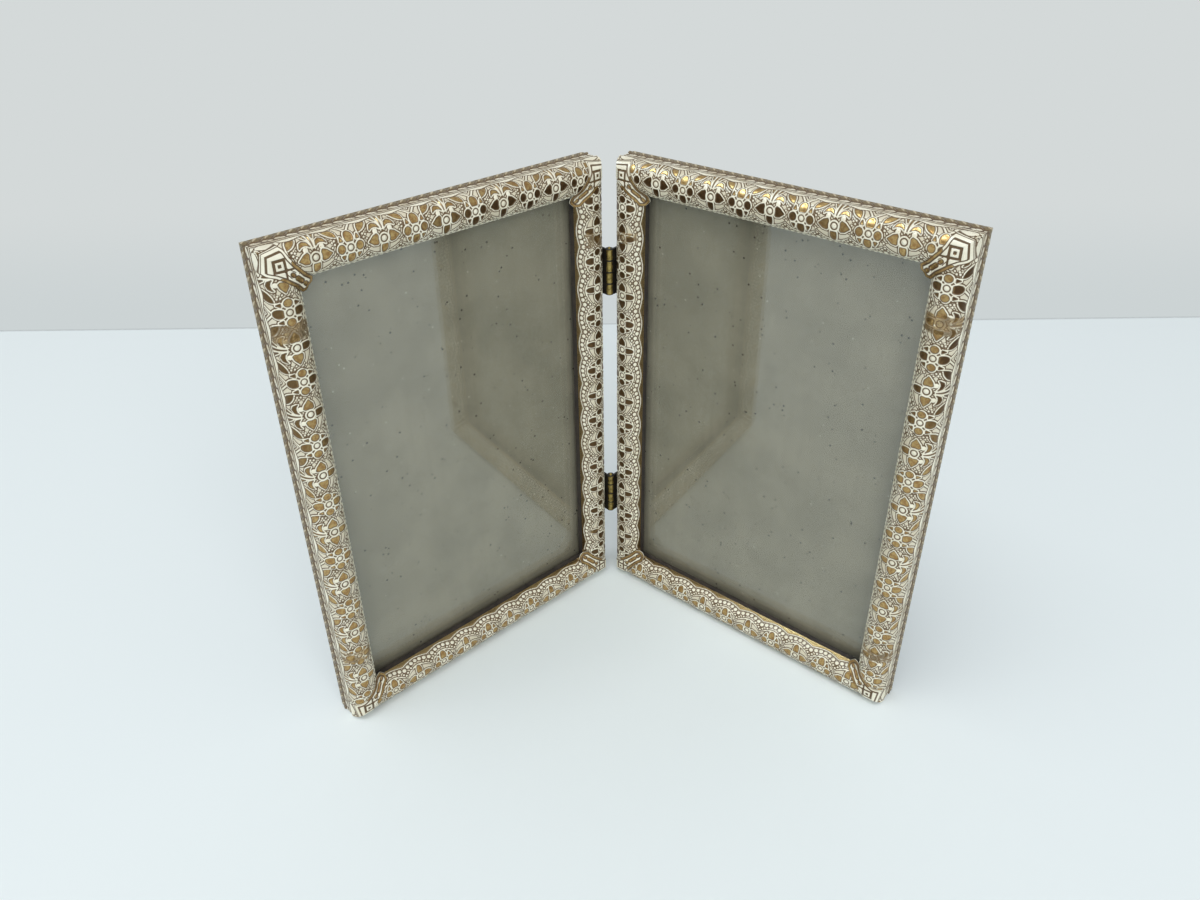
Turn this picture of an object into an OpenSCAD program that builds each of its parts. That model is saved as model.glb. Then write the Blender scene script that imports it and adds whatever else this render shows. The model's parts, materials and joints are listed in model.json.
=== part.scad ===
// Hinged double photo frame: two foil-clad mitred frames joined by two small brass butt hinges.
// Each frame is drawn flat in its own axes (x from the hinge side, y from front to back, z up),
// then turned to its place in the open V. All lengths are in millimetres.

/* [Frame] */
// Width of the glass, the size of photo that the frame takes
glass_w = 101.6; // [80:0.1:250]
// Height of the glass
glass_h = 152.4; // [100:0.1:300]
// Angle between the two frames as they stand
open_angle = 97; // [40:1:170]
// Depth of the moulding from front to back
depth = 11.8; // [11:0.1:18]
// Width of the moulding's face
face_w = 11; // [10:0.1:18]
// How far the moulding covers the edge of the glass
lip_cover = 2; // [1.5:0.1:3.5]
// Room around the glass in its rabbet
glass_room = 0.4; // [0.1:0.1:0.6]

/* [Moulding] */
// Thickness of the embossed metal cladding
skin_t = 0.45; // [0.3:0.05:0.7]
// Depth of the rounded face, from its crest to its shoulder
dome_d = 5.7; // [4:0.1:6.2]
// How far the crest lies nearer the window than the middle of the rounded face
crest_lean = 0.15; // [0:0.05:0.6]
// Fullness of the rounded face, 2 is an ellipse
dome_power = 2.4; // [2:0.1:3]
// How far the rope at the back edge stands out from the side wall
rope_out = 0.45; // [0.2:0.05:0.9]
// Width of the rope at the back edge
rope_w = 3.3; // [2.2:0.1:4.2]
// Width of the groove under the shoulder
groove_w = 0.65; // [0.4:0.05:1]
// Depth of the groove under the shoulder
groove_d = 0.2; // [0.1:0.05:0.35]
// Width of the slanted lip at the window
lip_run = 0.45; // [0.3:0.05:0.9]
// Depth of the lip's rear edge behind the crest
lip_depth = 4.7; // [4:0.1:6]
// Step from the lip back to the dark sight edge of the core
sight_step = 0.3; // [0.1:0.05:0.5]
// Width of the cladding's flange folded over the back
flange_w = 3; // [1.8:0.1:3.6]

/* [Corner plates] */
// Thickness of the corner plates
plate_t = 0.5; // [0.35:0.05:0.8]
// Distance from the frame's corner to the head's corner, along the mitre
plate_start = 1.7; // [1.3:0.1:3]
// Distance to the widest part of the head, along the mitre
plate_head = 5.5; // [4.5:0.1:7]
// Half width of the head
plate_head_w = 4.1; // [2.8:0.1:5]
// Length of the blunted corner on each side of the head
plate_head_flat = 1; // [0.4:0.1:1.8]
// How far the edges between head and waist curve inwards
plate_neck_in = 0.2; // [0.05:0.05:0.5]
// Distance to the waist, along the mitre
plate_waist = 10.3; // [9:0.1:12]
// Half width of the waist
plate_waist_w = 2.6; // [1.8:0.1:3.5]
// How far the tongue reaches over the window, along the mitre
tongue_over = 3.1; // [2:0.1:5]
// Half width of the tongue near its tip
plate_end_w = 2.5; // [1.5:0.1:3.5]
// How far the tongue's edges curve inwards between waist and tip
tongue_in = 0.3; // [0.05:0.05:0.5]
// Half width of the tongue's blunt tip
plate_tip_w = 1.3; // [0.5:0.1:2.5]
// Length of the tapered stretch before the tip
plate_tip_len = 1.2; // [0.5:0.1:2]
// Where the tongue leaves the rounded face, from the window's edge
tongue_free = 1; // [0.5:0.1:2]
// Slope at which the tongue drops over the window
tongue_slope = 28; // [10:1:45]

/* [Glazing] */
// Depth of the rabbet's ledge, where the front of the glass rests
glass_d = 7.2; // [6.4:0.1:8.5]
// Thickness of the glass
glass_t = 1.6; // [1:0.1:2]
// Thickness of the grey card
card_t = 0.8; // [0.5:0.1:1.2]
// Thickness of the felt on the back board
felt_t = 0.4; // [0.3:0.1:0.6]
// How far the felt lies in front of the back face of the core
felt_in = 0.1; // [0.05:0.05:0.2]

/* [Hinges] */
// Radius of the hinge barrel
barrel_r = 1.35; // [1.2:0.05:2.2]
// Radius of the hinge pin
pin_r = 0.6; // [0.4:0.05:0.85]
// Running clearance of the pin in the right leaf's knuckles
pin_gap = 0.05; // [0.02:0.01:0.1]
// Length of the tapered tip at each end of the pin
pin_tip = 0.5; // [0.2:0.1:1]
// Thickness of the hinge leaves
leaf_t = 0.8; // [0.5:0.05:1]
// Length of a hinge
hinge_len = 16.5; // [11:0.5:26]
// Depth of the leaf's rear edge, measured from the front of the frame
leaf_end = 8.3; // [7:0.1:8.5]
// Distance of each hinge's middle from the nearer end of the frame
hinge_end = 39; // [26:0.5:55]
// Depth of the pin's axis behind the crest of the moulding
hinge_in = 0.4; // [0:0.05:1]
// Gap between one knuckle and the next
knuckle_gap = 0.15; // [0.1:0.05:0.3]
// Gap between a knuckle and the other leaf's edge
leaf_gap = 0.35; // [0.3:0.05:0.6]
// Distance of the leaf screws from the hinge's ends
leaf_screw_end = 4; // [2.5:0.5:4.5]
// Distance of the leaf screws from the leaf's rear edge
leaf_screw_in = 1.7; // [1.5:0.1:3]
// Radius of the leaf screws' shanks
leaf_screw_r = 0.6; // [0.4:0.05:0.8]
// Radius of the leaf screws' countersunk heads
leaf_head_r = 1.2; // [0.9:0.05:1.4]
// Length of the leaf screws
leaf_screw_len = 5.5; // [4:0.5:8]

/* [Turn buttons] */
// Length of a button from pivot to tip
button_len = 8; // [5:0.5:12]
// Radius of a button around its pivot
button_r = 2.1; // [1.6:0.1:2.3]
// Radius of a button's tip
button_tip_r = 1.6; // [1:0.1:2.1]
// Thickness of a button
button_t = 0.8; // [0.5:0.1:1.5]
// Gap between a button and what it turns against
button_gap = 0.05; // [0.02:0.01:0.2]
// Radius of the button screws' shanks
screw_r = 0.8; // [0.5:0.05:1]
// Radius of the button screws' heads
screw_head_r = 1.6; // [1.2:0.1:2.2]
// Radius of the flat top of the heads
screw_top_r = 1.1; // [0.7:0.1:1.1]
// Height of the button screws' heads
screw_head_h = 0.8; // [0.5:0.1:1.3]
// Depth of the button screws in the core
screw_depth = 4; // [2.5:0.1:5]
// Width and depth of the screw slots
slot_w = 0.5; // [0.3:0.05:0.8]

/* [Corner nails] */
// Radius of the nails through the mitres
nail_r = 0.5; // [0.35:0.05:0.8]
// Length of the nails
nail_len = 12; // [9:0.5:17]
// Distance of a nail from the frame's side edge
nail_v = 5.2; // [3.5:0.1:6]
// Depth of the nails, measured from the front of the frame
nail_d = 6.1; // [4.5:0.1:7]
// Distance of a nail's head from the frame's top or bottom
nail_start = 1.4; // [1.1:0.1:2.5]

/* [Hidden] */
RAILS = ["top", "bottom", "outer", "inner"];
$fn = 32;

// Facets along the rounded face and across the rope
dome_steps = 20;
rope_steps = 5;
// Margin by which a cutting shape runs past what it cuts
over = 2;

CREAM = [0.86, 0.84, 0.78];
GOLD = [0.65, 0.52, 0.33];
BRASS = [0.63, 0.57, 0.33];
DARK_WOOD = [0.12, 0.10, 0.09];
GREY_CARD = [0.53, 0.53, 0.49];
BOARD = [0.45, 0.36, 0.26];
FELT = [0.13, 0.12, 0.12];
STEEL = [0.6, 0.6, 0.62];
GLASS = [0.8, 0.9, 0.9, 0.35];

outer_w = glass_w - 2 * lip_cover + 2 * face_w;
outer_h = glass_h - 2 * lip_cover + 2 * face_w;
side_in = rope_out;
sight_v = face_w - sight_step;
rabbet_v = face_w - lip_cover - glass_room;
core_back = depth - skin_t;
dome_edge = face_w - lip_run;
crest_v = (side_in + dome_edge) / 2 + crest_lean;

// The leaves lie on the side walls and end flush with the barrel, which sets the gap
frame_gap = 2 * (barrel_r - side_in);
half_angle = open_angle / 2;

// Section of the moulding, as [distance from the outer edge, depth], inset by t

dome_end = 180 - acos(pow((dome_edge - crest_v) / (crest_v - side_in), dome_power / 2));

function dome_point(angle, t) = [
    crest_v - (crest_v - side_in - t) * sign(cos(angle)) * pow(abs(cos(angle)), 2 / dome_power),
    dome_d - (dome_d - t) * pow(sin(angle), 2 / dome_power)
];

function dome_points(t) = [for (i = [0 : dome_steps]) dome_point(dome_end * i / dome_steps, t)];

rope_half = rope_w / 2;
rope_r = (rope_half * rope_half + rope_out * rope_out) / (2 * rope_out);
rope_mid = depth - rope_half;

function rope_points(t) =
    let (from = asin((rope_half - t) / (rope_r - t)))
    let (to = -acos((rope_r - side_in - t) / (rope_r - t)))
    [for (i = [0 : rope_steps])
        let (a = from + (to - from) * i / rope_steps)
        [rope_r - (rope_r - t) * cos(a), rope_mid + (rope_r - t) * sin(a)]];

function groove_points(t) = [
    [side_in + t, dome_d + groove_w],
    [side_in + t + groove_d, dome_d + groove_w / 2]
];

function lip_end(t) = [face_w - t, lip_depth];

function outline(t) = concat(rope_points(t), groove_points(t), dome_points(t), [lip_end(t)]);

function reversed(list) = [for (i = [len(list) - 1 : -1 : 0]) list[i]];

cladding_section = concat(
    [[flange_w, depth]], outline(0),
    reversed(outline(skin_t)), [[flange_w, core_back]]);

core_section = concat(
    outline(skin_t),
    [[sight_v, lip_depth], [sight_v, glass_d], [rabbet_v, glass_d], [rabbet_v, core_back]]);

// Points of the rounded face that carry a corner plate
function plate_dome(t) = [for (p = dome_points(-t)) if (p[0] <= face_w - tongue_free) p];

plate_end = face_w * sqrt(2) + tongue_over;
tongue_reach = plate_end / sqrt(2) + plate_tip_w + over;

function tongue_end(t) =
    let (last = plate_dome(t)[len(plate_dome(t)) - 1])
    [tongue_reach, last[1] + (tongue_reach - last[0]) * tan(tongue_slope)];

plate_section = concat(
    plate_dome(plate_t), [tongue_end(plate_t)],
    [tongue_end(0)], reversed(plate_dome(0)));

// Corner plate outline, as [along the mitre, across it]
plate_half = [
    [plate_start, 0],
    [plate_head - plate_head_flat / 2, plate_head_w],
    [plate_head + plate_head_flat / 2, plate_head_w],
    [(plate_head + plate_waist) / 2, (plate_head_w + plate_waist_w) / 2 - plate_neck_in],
    [plate_waist, plate_waist_w],
    [(plate_waist + plate_end) / 2, plate_end_w - tongue_in],
    [plate_end - plate_tip_len, plate_end_w],
    [plate_end, plate_tip_w]
];
plate_outline = concat(
    plate_half,
    [for (p = reversed(plate_half)) if (p[1] > 0) [p[0], -p[1]]]);

function mitre_turn(p) = [(p[0] + p[1]) / sqrt(2), (p[0] - p[1]) / sqrt(2)];

// Middle of the part in y, so that its origin lies under the middle of its box
front_reach = min([for (p = plate_dome(plate_t)) cos(half_angle) * p[0] + sin(half_angle) * p[1]]);
y_front = front_reach - cos(half_angle) * (outer_w + frame_gap / 2) - sin(half_angle) * hinge_in;
y_back = sin(half_angle) * (depth - hinge_in) - cos(half_angle) * (side_in + frame_gap / 2);
y_shift = -(y_front + y_back) / 2;

// Places

module in_frame(side) {
    translate([0, y_shift, 0])
        mirror([side == "left" ? 1 : 0, 0, 0])
            rotate([0, 0, half_angle - 90])
                translate([frame_gap / 2, -hinge_in, 0])
                    children();
}

module on_top() {
    translate([0, 0, outer_h]) mirror([0, 0, 1]) children();
}

module on_outer() {
    translate([outer_w, 0, 0]) mirror([1, 0, 0]) children();
}

// Puts what is drawn along the left edge of a frame along one of its four rails
module along_rail(rail) {
    if (rail == "inner") children();
    if (rail == "outer") on_outer() children();
    if (rail == "bottom") translate([outer_w, 0, 0]) rotate([0, -90, 0]) children();
    if (rail == "top") on_top() translate([outer_w, 0, 0]) rotate([0, -90, 0]) children();
}

function rail_length(rail) = (rail == "inner" || rail == "outer") ? outer_h : outer_w;

module at_corner(end, edge) {
    if (end == "bottom" && edge == "inner") children();
    if (end == "bottom" && edge == "outer") on_outer() children();
    if (end == "top" && edge == "inner") on_top() children();
    if (end == "top" && edge == "outer") on_top() on_outer() children();
}

// A prism whose outline is given in x and z, running through the frame from front to back
module through_prism(points) {
    translate([0, depth + over, 0])
        rotate([90, 0, 0])
            linear_extrude(depth + 2 * over) polygon(points);
}

module mitred(section, length) {
    reach = face_w + over;
    intersection() {
        linear_extrude(length) polygon(section);
        through_prism([[-over, -over], [reach, reach], [reach, length - reach], [-over, length + over]]);
    }
}

// Moulding

module cladding(side, rail) {
    color(CREAM) in_frame(side) along_rail(rail) difference() {
        mitred(cladding_section, rail_length(rail));
        if (rail == "inner") leaf_screw_bores();
    }
}

module core(side, rail) {
    color(DARK_WOOD) in_frame(side) difference() {
        along_rail(rail) difference() {
            mitred(core_section, rail_length(rail));
            button_screw_bore(rail_length(rail));
            if (rail == "inner") leaf_screw_bores();
        }
        for (end = ["top", "bottom"], edge = ["inner", "outer"]) at_corner(end, edge) nail();
    }
}

module button_screw_bore(length) {
    translate([button_v, core_back - screw_depth, length / 2])
        rotate([-90, 0, 0]) cylinder(h = screw_depth + over, r = screw_r);
}

module leaf_screw_bores() {
    for (z = hinge_heights, s = [-1, 1])
        at_leaf_screw(z + s * leaf_screw_z) cylinder(h = leaf_screw_len, r = leaf_screw_r);
}

// One nail stands in the corner, through the mitre from the rail into the stile
module nail() {
    translate([nail_v, nail_d, nail_start]) cylinder(h = nail_len, r = nail_r);
}

module corner_nails(side) {
    color(STEEL) in_frame(side)
        for (end = ["top", "bottom"], edge = ["inner", "outer"]) at_corner(end, edge) nail();
}

// Corner plates: a formed sheet that follows both rails and meets itself on the mitre

module plate_wing() {
    reach = plate_end + over;
    intersection() {
        linear_extrude(reach) polygon(plate_section);
        through_prism([[0, 0], [reach, reach], [0, reach]]);
    }
}

module corner_plate(side, end, edge) {
    color(CREAM) in_frame(side) at_corner(end, edge) intersection() {
        union() {
            plate_wing();
            mirror([1, 0, -1]) plate_wing();
        }
        through_prism([for (p = plate_outline) mitre_turn(p)]);
    }
}

// Glazing

module panel(side, room, from, thick) {
    edge = face_w - lip_cover + room;
    in_frame(side)
        translate([edge, from, edge])
            cube([outer_w - 2 * edge, thick, outer_h - 2 * edge]);
}

board_d = glass_d + glass_t + card_t;
felt_d = core_back - felt_in - felt_t;

module glass(side) {
    color(GLASS) panel(side, 0, glass_d, glass_t);
}

module grey_card(side) {
    color(GREY_CARD) panel(side, 0, glass_d + glass_t, card_t);
}

module back_board(side) {
    color(BOARD) panel(side, 0, board_d, felt_d - board_d);
}

module back_felt(side) {
    color(FELT) panel(side, 0, felt_d, felt_t);
}

// Turn buttons on the back of the core, with their screws, midway between flange and rabbet

button_v = (flange_w + rabbet_v) / 2;

module at_button() {
    translate([button_v, core_back, 0]) rotate([-90, 0, 0]) children();
}

module button_shape() {
    arm = button_len - button_tip_r;
    circle(r = button_r);
    translate([0, -button_tip_r]) square([arm, 2 * button_tip_r]);
    translate([arm, 0]) circle(r = button_tip_r);
}

module turn_button(side, rail) {
    color(BRASS) in_frame(side) along_rail(rail) translate([0, 0, rail_length(rail) / 2]) at_button()
        translate([0, 0, button_gap]) linear_extrude(button_t) difference() {
            button_shape();
            circle(r = screw_r + button_gap);
        }
}

module button_screw() {
    head_z = button_t + 2 * button_gap;
    difference() {
        union() {
            translate([0, 0, -screw_depth]) cylinder(h = screw_depth + head_z, r = screw_r);
            translate([0, 0, head_z]) cylinder(h = screw_head_h, r1 = screw_head_r, r2 = screw_top_r);
        }
        translate([-screw_head_r, -slot_w / 2, head_z + screw_head_h - slot_w])
            cube([2 * screw_head_r, slot_w, slot_w + over]);
    }
}

module button_screws(side) {
    color(BRASS) in_frame(side) for (rail = RAILS)
        along_rail(rail) translate([0, 0, rail_length(rail) / 2]) at_button() button_screw();
}

// Hinges: the left leaf has the first and third knuckle from below, the right leaf the others

hinge_heights = [hinge_end, outer_h - hinge_end];
knuckles = 4;
knuckle_len = (hinge_len - (knuckles - 1) * knuckle_gap) / knuckles;
leaf_screw_z = hinge_len / 2 - leaf_screw_end;
leaf_screw_d = leaf_end - leaf_screw_in;

function hinge_z(which) = which == "upper" ? hinge_heights[1] : hinge_heights[0];
function knuckle_z(k) = k * (knuckle_len + knuckle_gap) - hinge_len / 2;

module at_leaf_screw(z) {
    translate([side_in - leaf_t, leaf_screw_d, z]) rotate([0, 90, 0]) children();
}

module leaf_screw() {
    difference() {
        union() {
            cylinder(h = leaf_t, r1 = leaf_head_r, r2 = leaf_screw_r);
            cylinder(h = leaf_screw_len, r = leaf_screw_r);
        }
        translate([-leaf_head_r, -slot_w / 2, -over]) cube([2 * leaf_head_r, slot_w, over + slot_w / 2]);
    }
}

module hinge_screws(side) {
    color(BRASS) in_frame(side)
        for (z = hinge_heights, s = [-1, 1]) at_leaf_screw(z + s * leaf_screw_z) leaf_screw();
}

module hinge_leaf(side, which) {
    first = side == "left" ? 0 : 1;
    plate_from = hinge_in + barrel_r + leaf_gap;
    bore_r = side == "left" ? pin_r : pin_r + pin_gap;
    color(BRASS) in_frame(side) translate([0, 0, hinge_z(which)]) difference() {
        union() {
            translate([side_in - leaf_t, plate_from, -hinge_len / 2])
                cube([leaf_t, leaf_end - plate_from, hinge_len]);
            for (k = [first : 2 : knuckles - 1]) translate([0, 0, knuckle_z(k)]) {
                translate([-frame_gap / 2, hinge_in, 0]) cylinder(h = knuckle_len, r = barrel_r);
                translate([side_in - leaf_t, hinge_in, 0])
                    cube([leaf_t, plate_from - hinge_in + leaf_gap, knuckle_len]);
            }
        }
        translate([-frame_gap / 2, hinge_in, -hinge_len]) cylinder(h = 2 * hinge_len, r = bore_r);
        for (s = [-1, 1]) at_leaf_screw(s * leaf_screw_z) {
            cylinder(h = leaf_t, r1 = leaf_head_r, r2 = leaf_screw_r);
            cylinder(h = leaf_t + over, r = leaf_screw_r);
        }
    }
}

module hinge_pin(which) {
    color(BRASS) translate([0, y_shift, hinge_z(which)]) {
        translate([0, 0, -hinge_len / 2]) cylinder(h = hinge_len, r = pin_r);
        for (end = [0, 1]) mirror([0, 0, end])
            translate([0, 0, hinge_len / 2]) cylinder(h = pin_tip, r1 = pin_r, r2 = pin_r / 2);
    }
}

// What is drawn

cladding("left", "top");  // left_top_cladding
cladding("left", "bottom");  // left_bottom_cladding
cladding("left", "outer");  // left_outer_cladding
cladding("left", "inner");  // left_inner_cladding
core("left", "top");  // left_top_core
core("left", "bottom");  // left_bottom_core
core("left", "outer");  // left_outer_core
core("left", "inner");  // left_inner_core
corner_plate("left", "top", "outer");  // left_top_outer_corner_plate
corner_plate("left", "top", "inner");  // left_top_inner_corner_plate
corner_plate("left", "bottom", "outer");  // left_bottom_outer_corner_plate
corner_plate("left", "bottom", "inner");  // left_bottom_inner_corner_plate
glass("left");  // left_glass
grey_card("left");  // left_grey_card
back_board("left");  // left_back_board
back_felt("left");  // left_back_felt
corner_nails("left");  // left_corner_nails
button_screws("left");  // left_button_screws
turn_button("left", "top");  // left_top_button
turn_button("left", "bottom");  // left_bottom_button
turn_button("left", "outer");  // left_outer_button
turn_button("left", "inner");  // left_inner_button
hinge_leaf("left", "upper");  // left_upper_hinge_leaf
hinge_leaf("left", "lower");  // left_lower_hinge_leaf
hinge_screws("left");  // left_hinge_screws
cladding("right", "top");  // right_top_cladding
cladding("right", "bottom");  // right_bottom_cladding
cladding("right", "outer");  // right_outer_cladding
cladding("right", "inner");  // right_inner_cladding
core("right", "top");  // right_top_core
core("right", "bottom");  // right_bottom_core
core("right", "outer");  // right_outer_core
core("right", "inner");  // right_inner_core
corner_plate("right", "top", "outer");  // right_top_outer_corner_plate
corner_plate("right", "top", "inner");  // right_top_inner_corner_plate
corner_plate("right", "bottom", "outer");  // right_bottom_outer_corner_plate
corner_plate("right", "bottom", "inner");  // right_bottom_inner_corner_plate
glass("right");  // right_glass
grey_card("right");  // right_grey_card
back_board("right");  // right_back_board
back_felt("right");  // right_back_felt
corner_nails("right");  // right_corner_nails
button_screws("right");  // right_button_screws
turn_button("right", "top");  // right_top_button
turn_button("right", "bottom");  // right_bottom_button
turn_button("right", "outer");  // right_outer_button
turn_button("right", "inner");  // right_inner_button
hinge_leaf("right", "upper");  // right_upper_hinge_leaf
hinge_leaf("right", "lower");  // right_lower_hinge_leaf
hinge_screws("right");  // right_hinge_screws
hinge_pin("upper");  // upper_hinge_pin
hinge_pin("lower");  // lower_hinge_pin
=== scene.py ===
"""Hinged double photo frame: embossed foil, corner plates, glass, card, felt, wood and brass."""
import json
import math
from contextlib import contextmanager

import bmesh
import bpy
import numpy as np
from bpy.props import FloatProperty, FloatVectorProperty, IntProperty, PointerProperty
from mathutils import Matrix, Vector


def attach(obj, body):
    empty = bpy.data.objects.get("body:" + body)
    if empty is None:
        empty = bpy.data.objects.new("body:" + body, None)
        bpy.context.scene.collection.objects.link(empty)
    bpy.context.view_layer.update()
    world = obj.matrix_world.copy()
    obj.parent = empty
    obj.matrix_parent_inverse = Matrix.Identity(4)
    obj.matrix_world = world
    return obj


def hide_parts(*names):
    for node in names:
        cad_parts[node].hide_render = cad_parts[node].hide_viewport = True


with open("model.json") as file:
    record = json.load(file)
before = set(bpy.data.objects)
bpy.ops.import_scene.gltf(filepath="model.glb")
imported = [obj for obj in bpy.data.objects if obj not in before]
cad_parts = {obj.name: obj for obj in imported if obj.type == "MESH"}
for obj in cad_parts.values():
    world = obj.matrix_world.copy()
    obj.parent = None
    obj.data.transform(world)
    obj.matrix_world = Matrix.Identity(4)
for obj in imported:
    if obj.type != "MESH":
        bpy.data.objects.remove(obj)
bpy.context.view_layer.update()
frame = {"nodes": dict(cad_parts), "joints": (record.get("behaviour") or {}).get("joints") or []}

bl_info = {
    "name": "Hinged Double Photo Frame",
    "version": (1, 0, 0),
    "blender": (4, 5, 0),
    "location": "View3D > Sidebar > Photo Frame",
    "description": "Dresses a hinged double photo frame in embossed foil, glass, card, wood and brass",
    "category": "Object",
}

MM = 0.001

# Points closer than this, in metres, are one
SAME_SPOT = 1e-7

# Sizes of the moulding in millimetres, as the construction has them
GLASS_W = 101.6
GLASS_H = 152.4
LIP_COVER = 2.0
FACE_W = 11.0
DEPTH = 11.8
SKIN_T = 0.45
DOME_D = 5.7
CREST_LEAN = 0.15
DOME_POWER = 2.4
ROPE_OUT = 0.45
ROPE_W = 3.3
GROOVE_W = 0.65
GROOVE_D = 0.2
LIP_RUN = 0.45
LIP_DEPTH = 4.7
FLANGE_W = 3.0
BARREL_R = 1.35
HINGE_IN = 0.4
HINGE_LEN = 16.5
HINGE_END = 39.0
KNUCKLES = 4
KNUCKLE_GAP = 0.15
LEAF_T = 0.8
LEAF_GAP = 0.35
LEAF_CLEAR = 0.08
NOTCH_CLOSE = 0.06
NOTCH_ROOM = 0.2
GLASS_D = 7.2
GLASS_T = 1.6
GLASS_CLEAR = 0.05
GROUND_EDGE = 0.2
OUTER_W = GLASS_W - 2 * LIP_COVER + 2 * FACE_W
OUTER_H = GLASS_H - 2 * LIP_COVER + 2 * FACE_W
DOME_EDGE = FACE_W - LIP_RUN
CREST_V = (ROPE_OUT + DOME_EDGE) / 2 + CREST_LEAN
FRAME_GAP = 2 * (BARREL_R - ROPE_OUT)
DOME_END = math.pi - math.acos(((DOME_EDGE - CREST_V) / (CREST_V - ROPE_OUT)) ** (DOME_POWER / 2))

# Sizes of the corner plates
PLATE_T = 0.5
PLATE_START = 1.7
PLATE_HEAD = 5.5
PLATE_HEAD_W = 4.1
PLATE_HEAD_FLAT = 1.0
PLATE_NECK_IN = 0.2
PLATE_WAIST = 10.3
PLATE_WAIST_W = 2.6
TONGUE_OVER = 3.1
PLATE_END_W = 2.5
TONGUE_IN = 0.3
PLATE_TIP_W = 1.3
PLATE_TIP_LEN = 1.2
TONGUE_FREE = 1.0
TONGUE_SLOPE = math.radians(28)
PLATE_END = FACE_W * math.sqrt(2) + TONGUE_OVER

# The plates' sheet is a hair thinner than the construction's, so that its edges stay inside it
PLATE_TRIM = 0.98

# Rows and columns of points over a plate
PLATE_GRID = (91, 45)

# Half widths of a corner plate at distances along the mitre, from the corner to the tongue's tip
PLATE_STATIONS = (
    (PLATE_START, 0.04), (PLATE_HEAD - PLATE_HEAD_FLAT / 2, PLATE_HEAD_W),
    (PLATE_HEAD + PLATE_HEAD_FLAT / 2, PLATE_HEAD_W),
    ((PLATE_HEAD + PLATE_WAIST) / 2, (PLATE_HEAD_W + PLATE_WAIST_W) / 2 - PLATE_NECK_IN),
    (PLATE_WAIST, PLATE_WAIST_W), ((PLATE_WAIST + PLATE_END) / 2, PLATE_END_W - TONGUE_IN),
    (PLATE_END - PLATE_TIP_LEN, PLATE_END_W), (PLATE_END, PLATE_TIP_W),
)

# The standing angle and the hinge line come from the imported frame
JOINTS = {joint["name"]: joint for joint in frame["joints"]}
HINGE_Y = JOINTS["frame_hinge"]["pos_m"][1] / MM
HALF_COS, HALF_SIN = JOINTS["right_top_button_turn"]["axis"][:2]

# The camera's place in millimetres, its turn in degrees and its lens
CAMERA_AT = (-10.113, HINGE_Y - 307.0762, 255.4714)
CAMERA_PITCH, CAMERA_YAW, CAMERA_ROLL = 32.6471, 1.1364, -0.7379
CAMERA_LENS = 28.4682
SENSOR_W = 36

# The backdrop's edge runs this much askew, as a slope
SEAM_SLOPE = 0.0227

# The lamps point at this place and the floor reaches this far, in metres
LAMP_AIM = (0, 0, 0.08)
FLOOR_REACH = 3.0

SIDES = ("left", "right")
RAILS = ("top", "bottom", "outer", "inner")
ENDS = ("top", "bottom")
EDGES = ("outer", "inner")

# Where the first rosette lies along each rail, in millimetres from the hinge side or from the floor
ROSETTE_AT = {
    "left_top": 32.4, "left_bottom": 62.7, "left_outer": 91.0, "left_inner": 96.2,
    "right_top": 28.8, "right_bottom": 55.3, "right_outer": 93.9, "right_inner": 93.3,
}

# Bands where hands have rubbed the wash away: distance along the rail, half width, strength
RUBBED = {
    "left_outer": ((146.8, 3.2, 1.0), (29.0, 3.0, 0.9)),
    "right_outer": ((145.1, 3.2, 1.0), (22.6, 3.0, 0.9)),
    "left_inner": ((144.5, 3.0, 0.8), (24.7, 1.6, 0.6)),
    "right_inner": ((144.5, 3.0, 0.8),),
}

# Painted shade and painted dark reflection in the gold cells: how dark they are painted on the window
# half of a rail, on its crest and on its outer half, and the distances along the rail where that begins
# to fade and where it is gone
PAINTED_CELL_SHADE = {
    "left_top": (1.0, 1.0, 0.3, 48.0, 84.0), "right_top": (1.0, 1.0, 0.2, 58.0, 104.0),
    "left_outer": (0.85, 0.25, 0.85, 128.0, 84.0), "right_outer": (0.85, 0.3, 1.0, 128.0, 90.0),
    "left_inner": (0.95, 0.95, 0.8, 400.0, 500.0), "right_inner": (0.95, 0.95, 0.8, 400.0, 500.0),
    "left_bottom": (0.1, 0.1, 0.1, 0.0, 1.0), "right_bottom": (0.1, 0.1, 0.1, 0.0, 1.0),
}
PAINTED_CELL_SHADE_LEAST = 0.1

# Distances round the section over which the crest's painted shade and the outer half's begin, and
# over which the rubbing starts and stops
PAINTED_CELL_SHADE_CREST = (6.7, 7.5)
PAINTED_CELL_SHADE_OUTSIDE = (9.8, 10.6)
RUB_START = (2.0, 4.0)
RUB_STOP = (14.0, 17.0)


def screen(red, green, blue):
    """A colour as a screen shows it, 0 to 255, in linear values."""
    def linear(value):
        value /= 255
        return value / 12.92 if value <= 0.04045 else ((value + 0.055) / 1.055) ** 2.4
    return (linear(red), linear(green), linear(blue))


def place(side, across, depth, height):
    """A point of one frame in metres: across from the hinge side, depth from the front, height."""
    turn = -1 if side == "left" else 1
    out = across + FRAME_GAP / 2
    back = depth - HINGE_IN
    x = turn * (HALF_SIN * out + HALF_COS * back)
    y = HALF_SIN * back - HALF_COS * out + HINGE_Y
    return np.stack([x * MM, y * MM, height * MM], axis=-1)


def rail_place(side, rail, v, depth, along):
    """A point on a rail: v from its outer edge to the window, depth from the front, along it."""
    across, height = {
        "inner": (v, along), "outer": (OUTER_W - v, along),
        "bottom": (along, v), "top": (along, OUTER_H - v),
    }[rail]
    return place(side, across + 0 * depth, depth, height + 0 * depth)


# Distances on the unrolled moulding. Each is negative inside its shape.

def disc(x, y, radius):
    return np.hypot(x, y) - radius


def ring(x, y, radius, half):
    return np.abs(np.hypot(x, y) - radius) - half


def oval(x, y, half_w, half_h):
    reach = np.hypot(x / half_w, y / half_h)
    slope = np.hypot(x / half_w ** 2, y / half_h ** 2)
    far = reach * (reach - 1) / np.maximum(slope, 1e-4)
    return np.where(reach < 0.02, -min(half_w, half_h), far)


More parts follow.
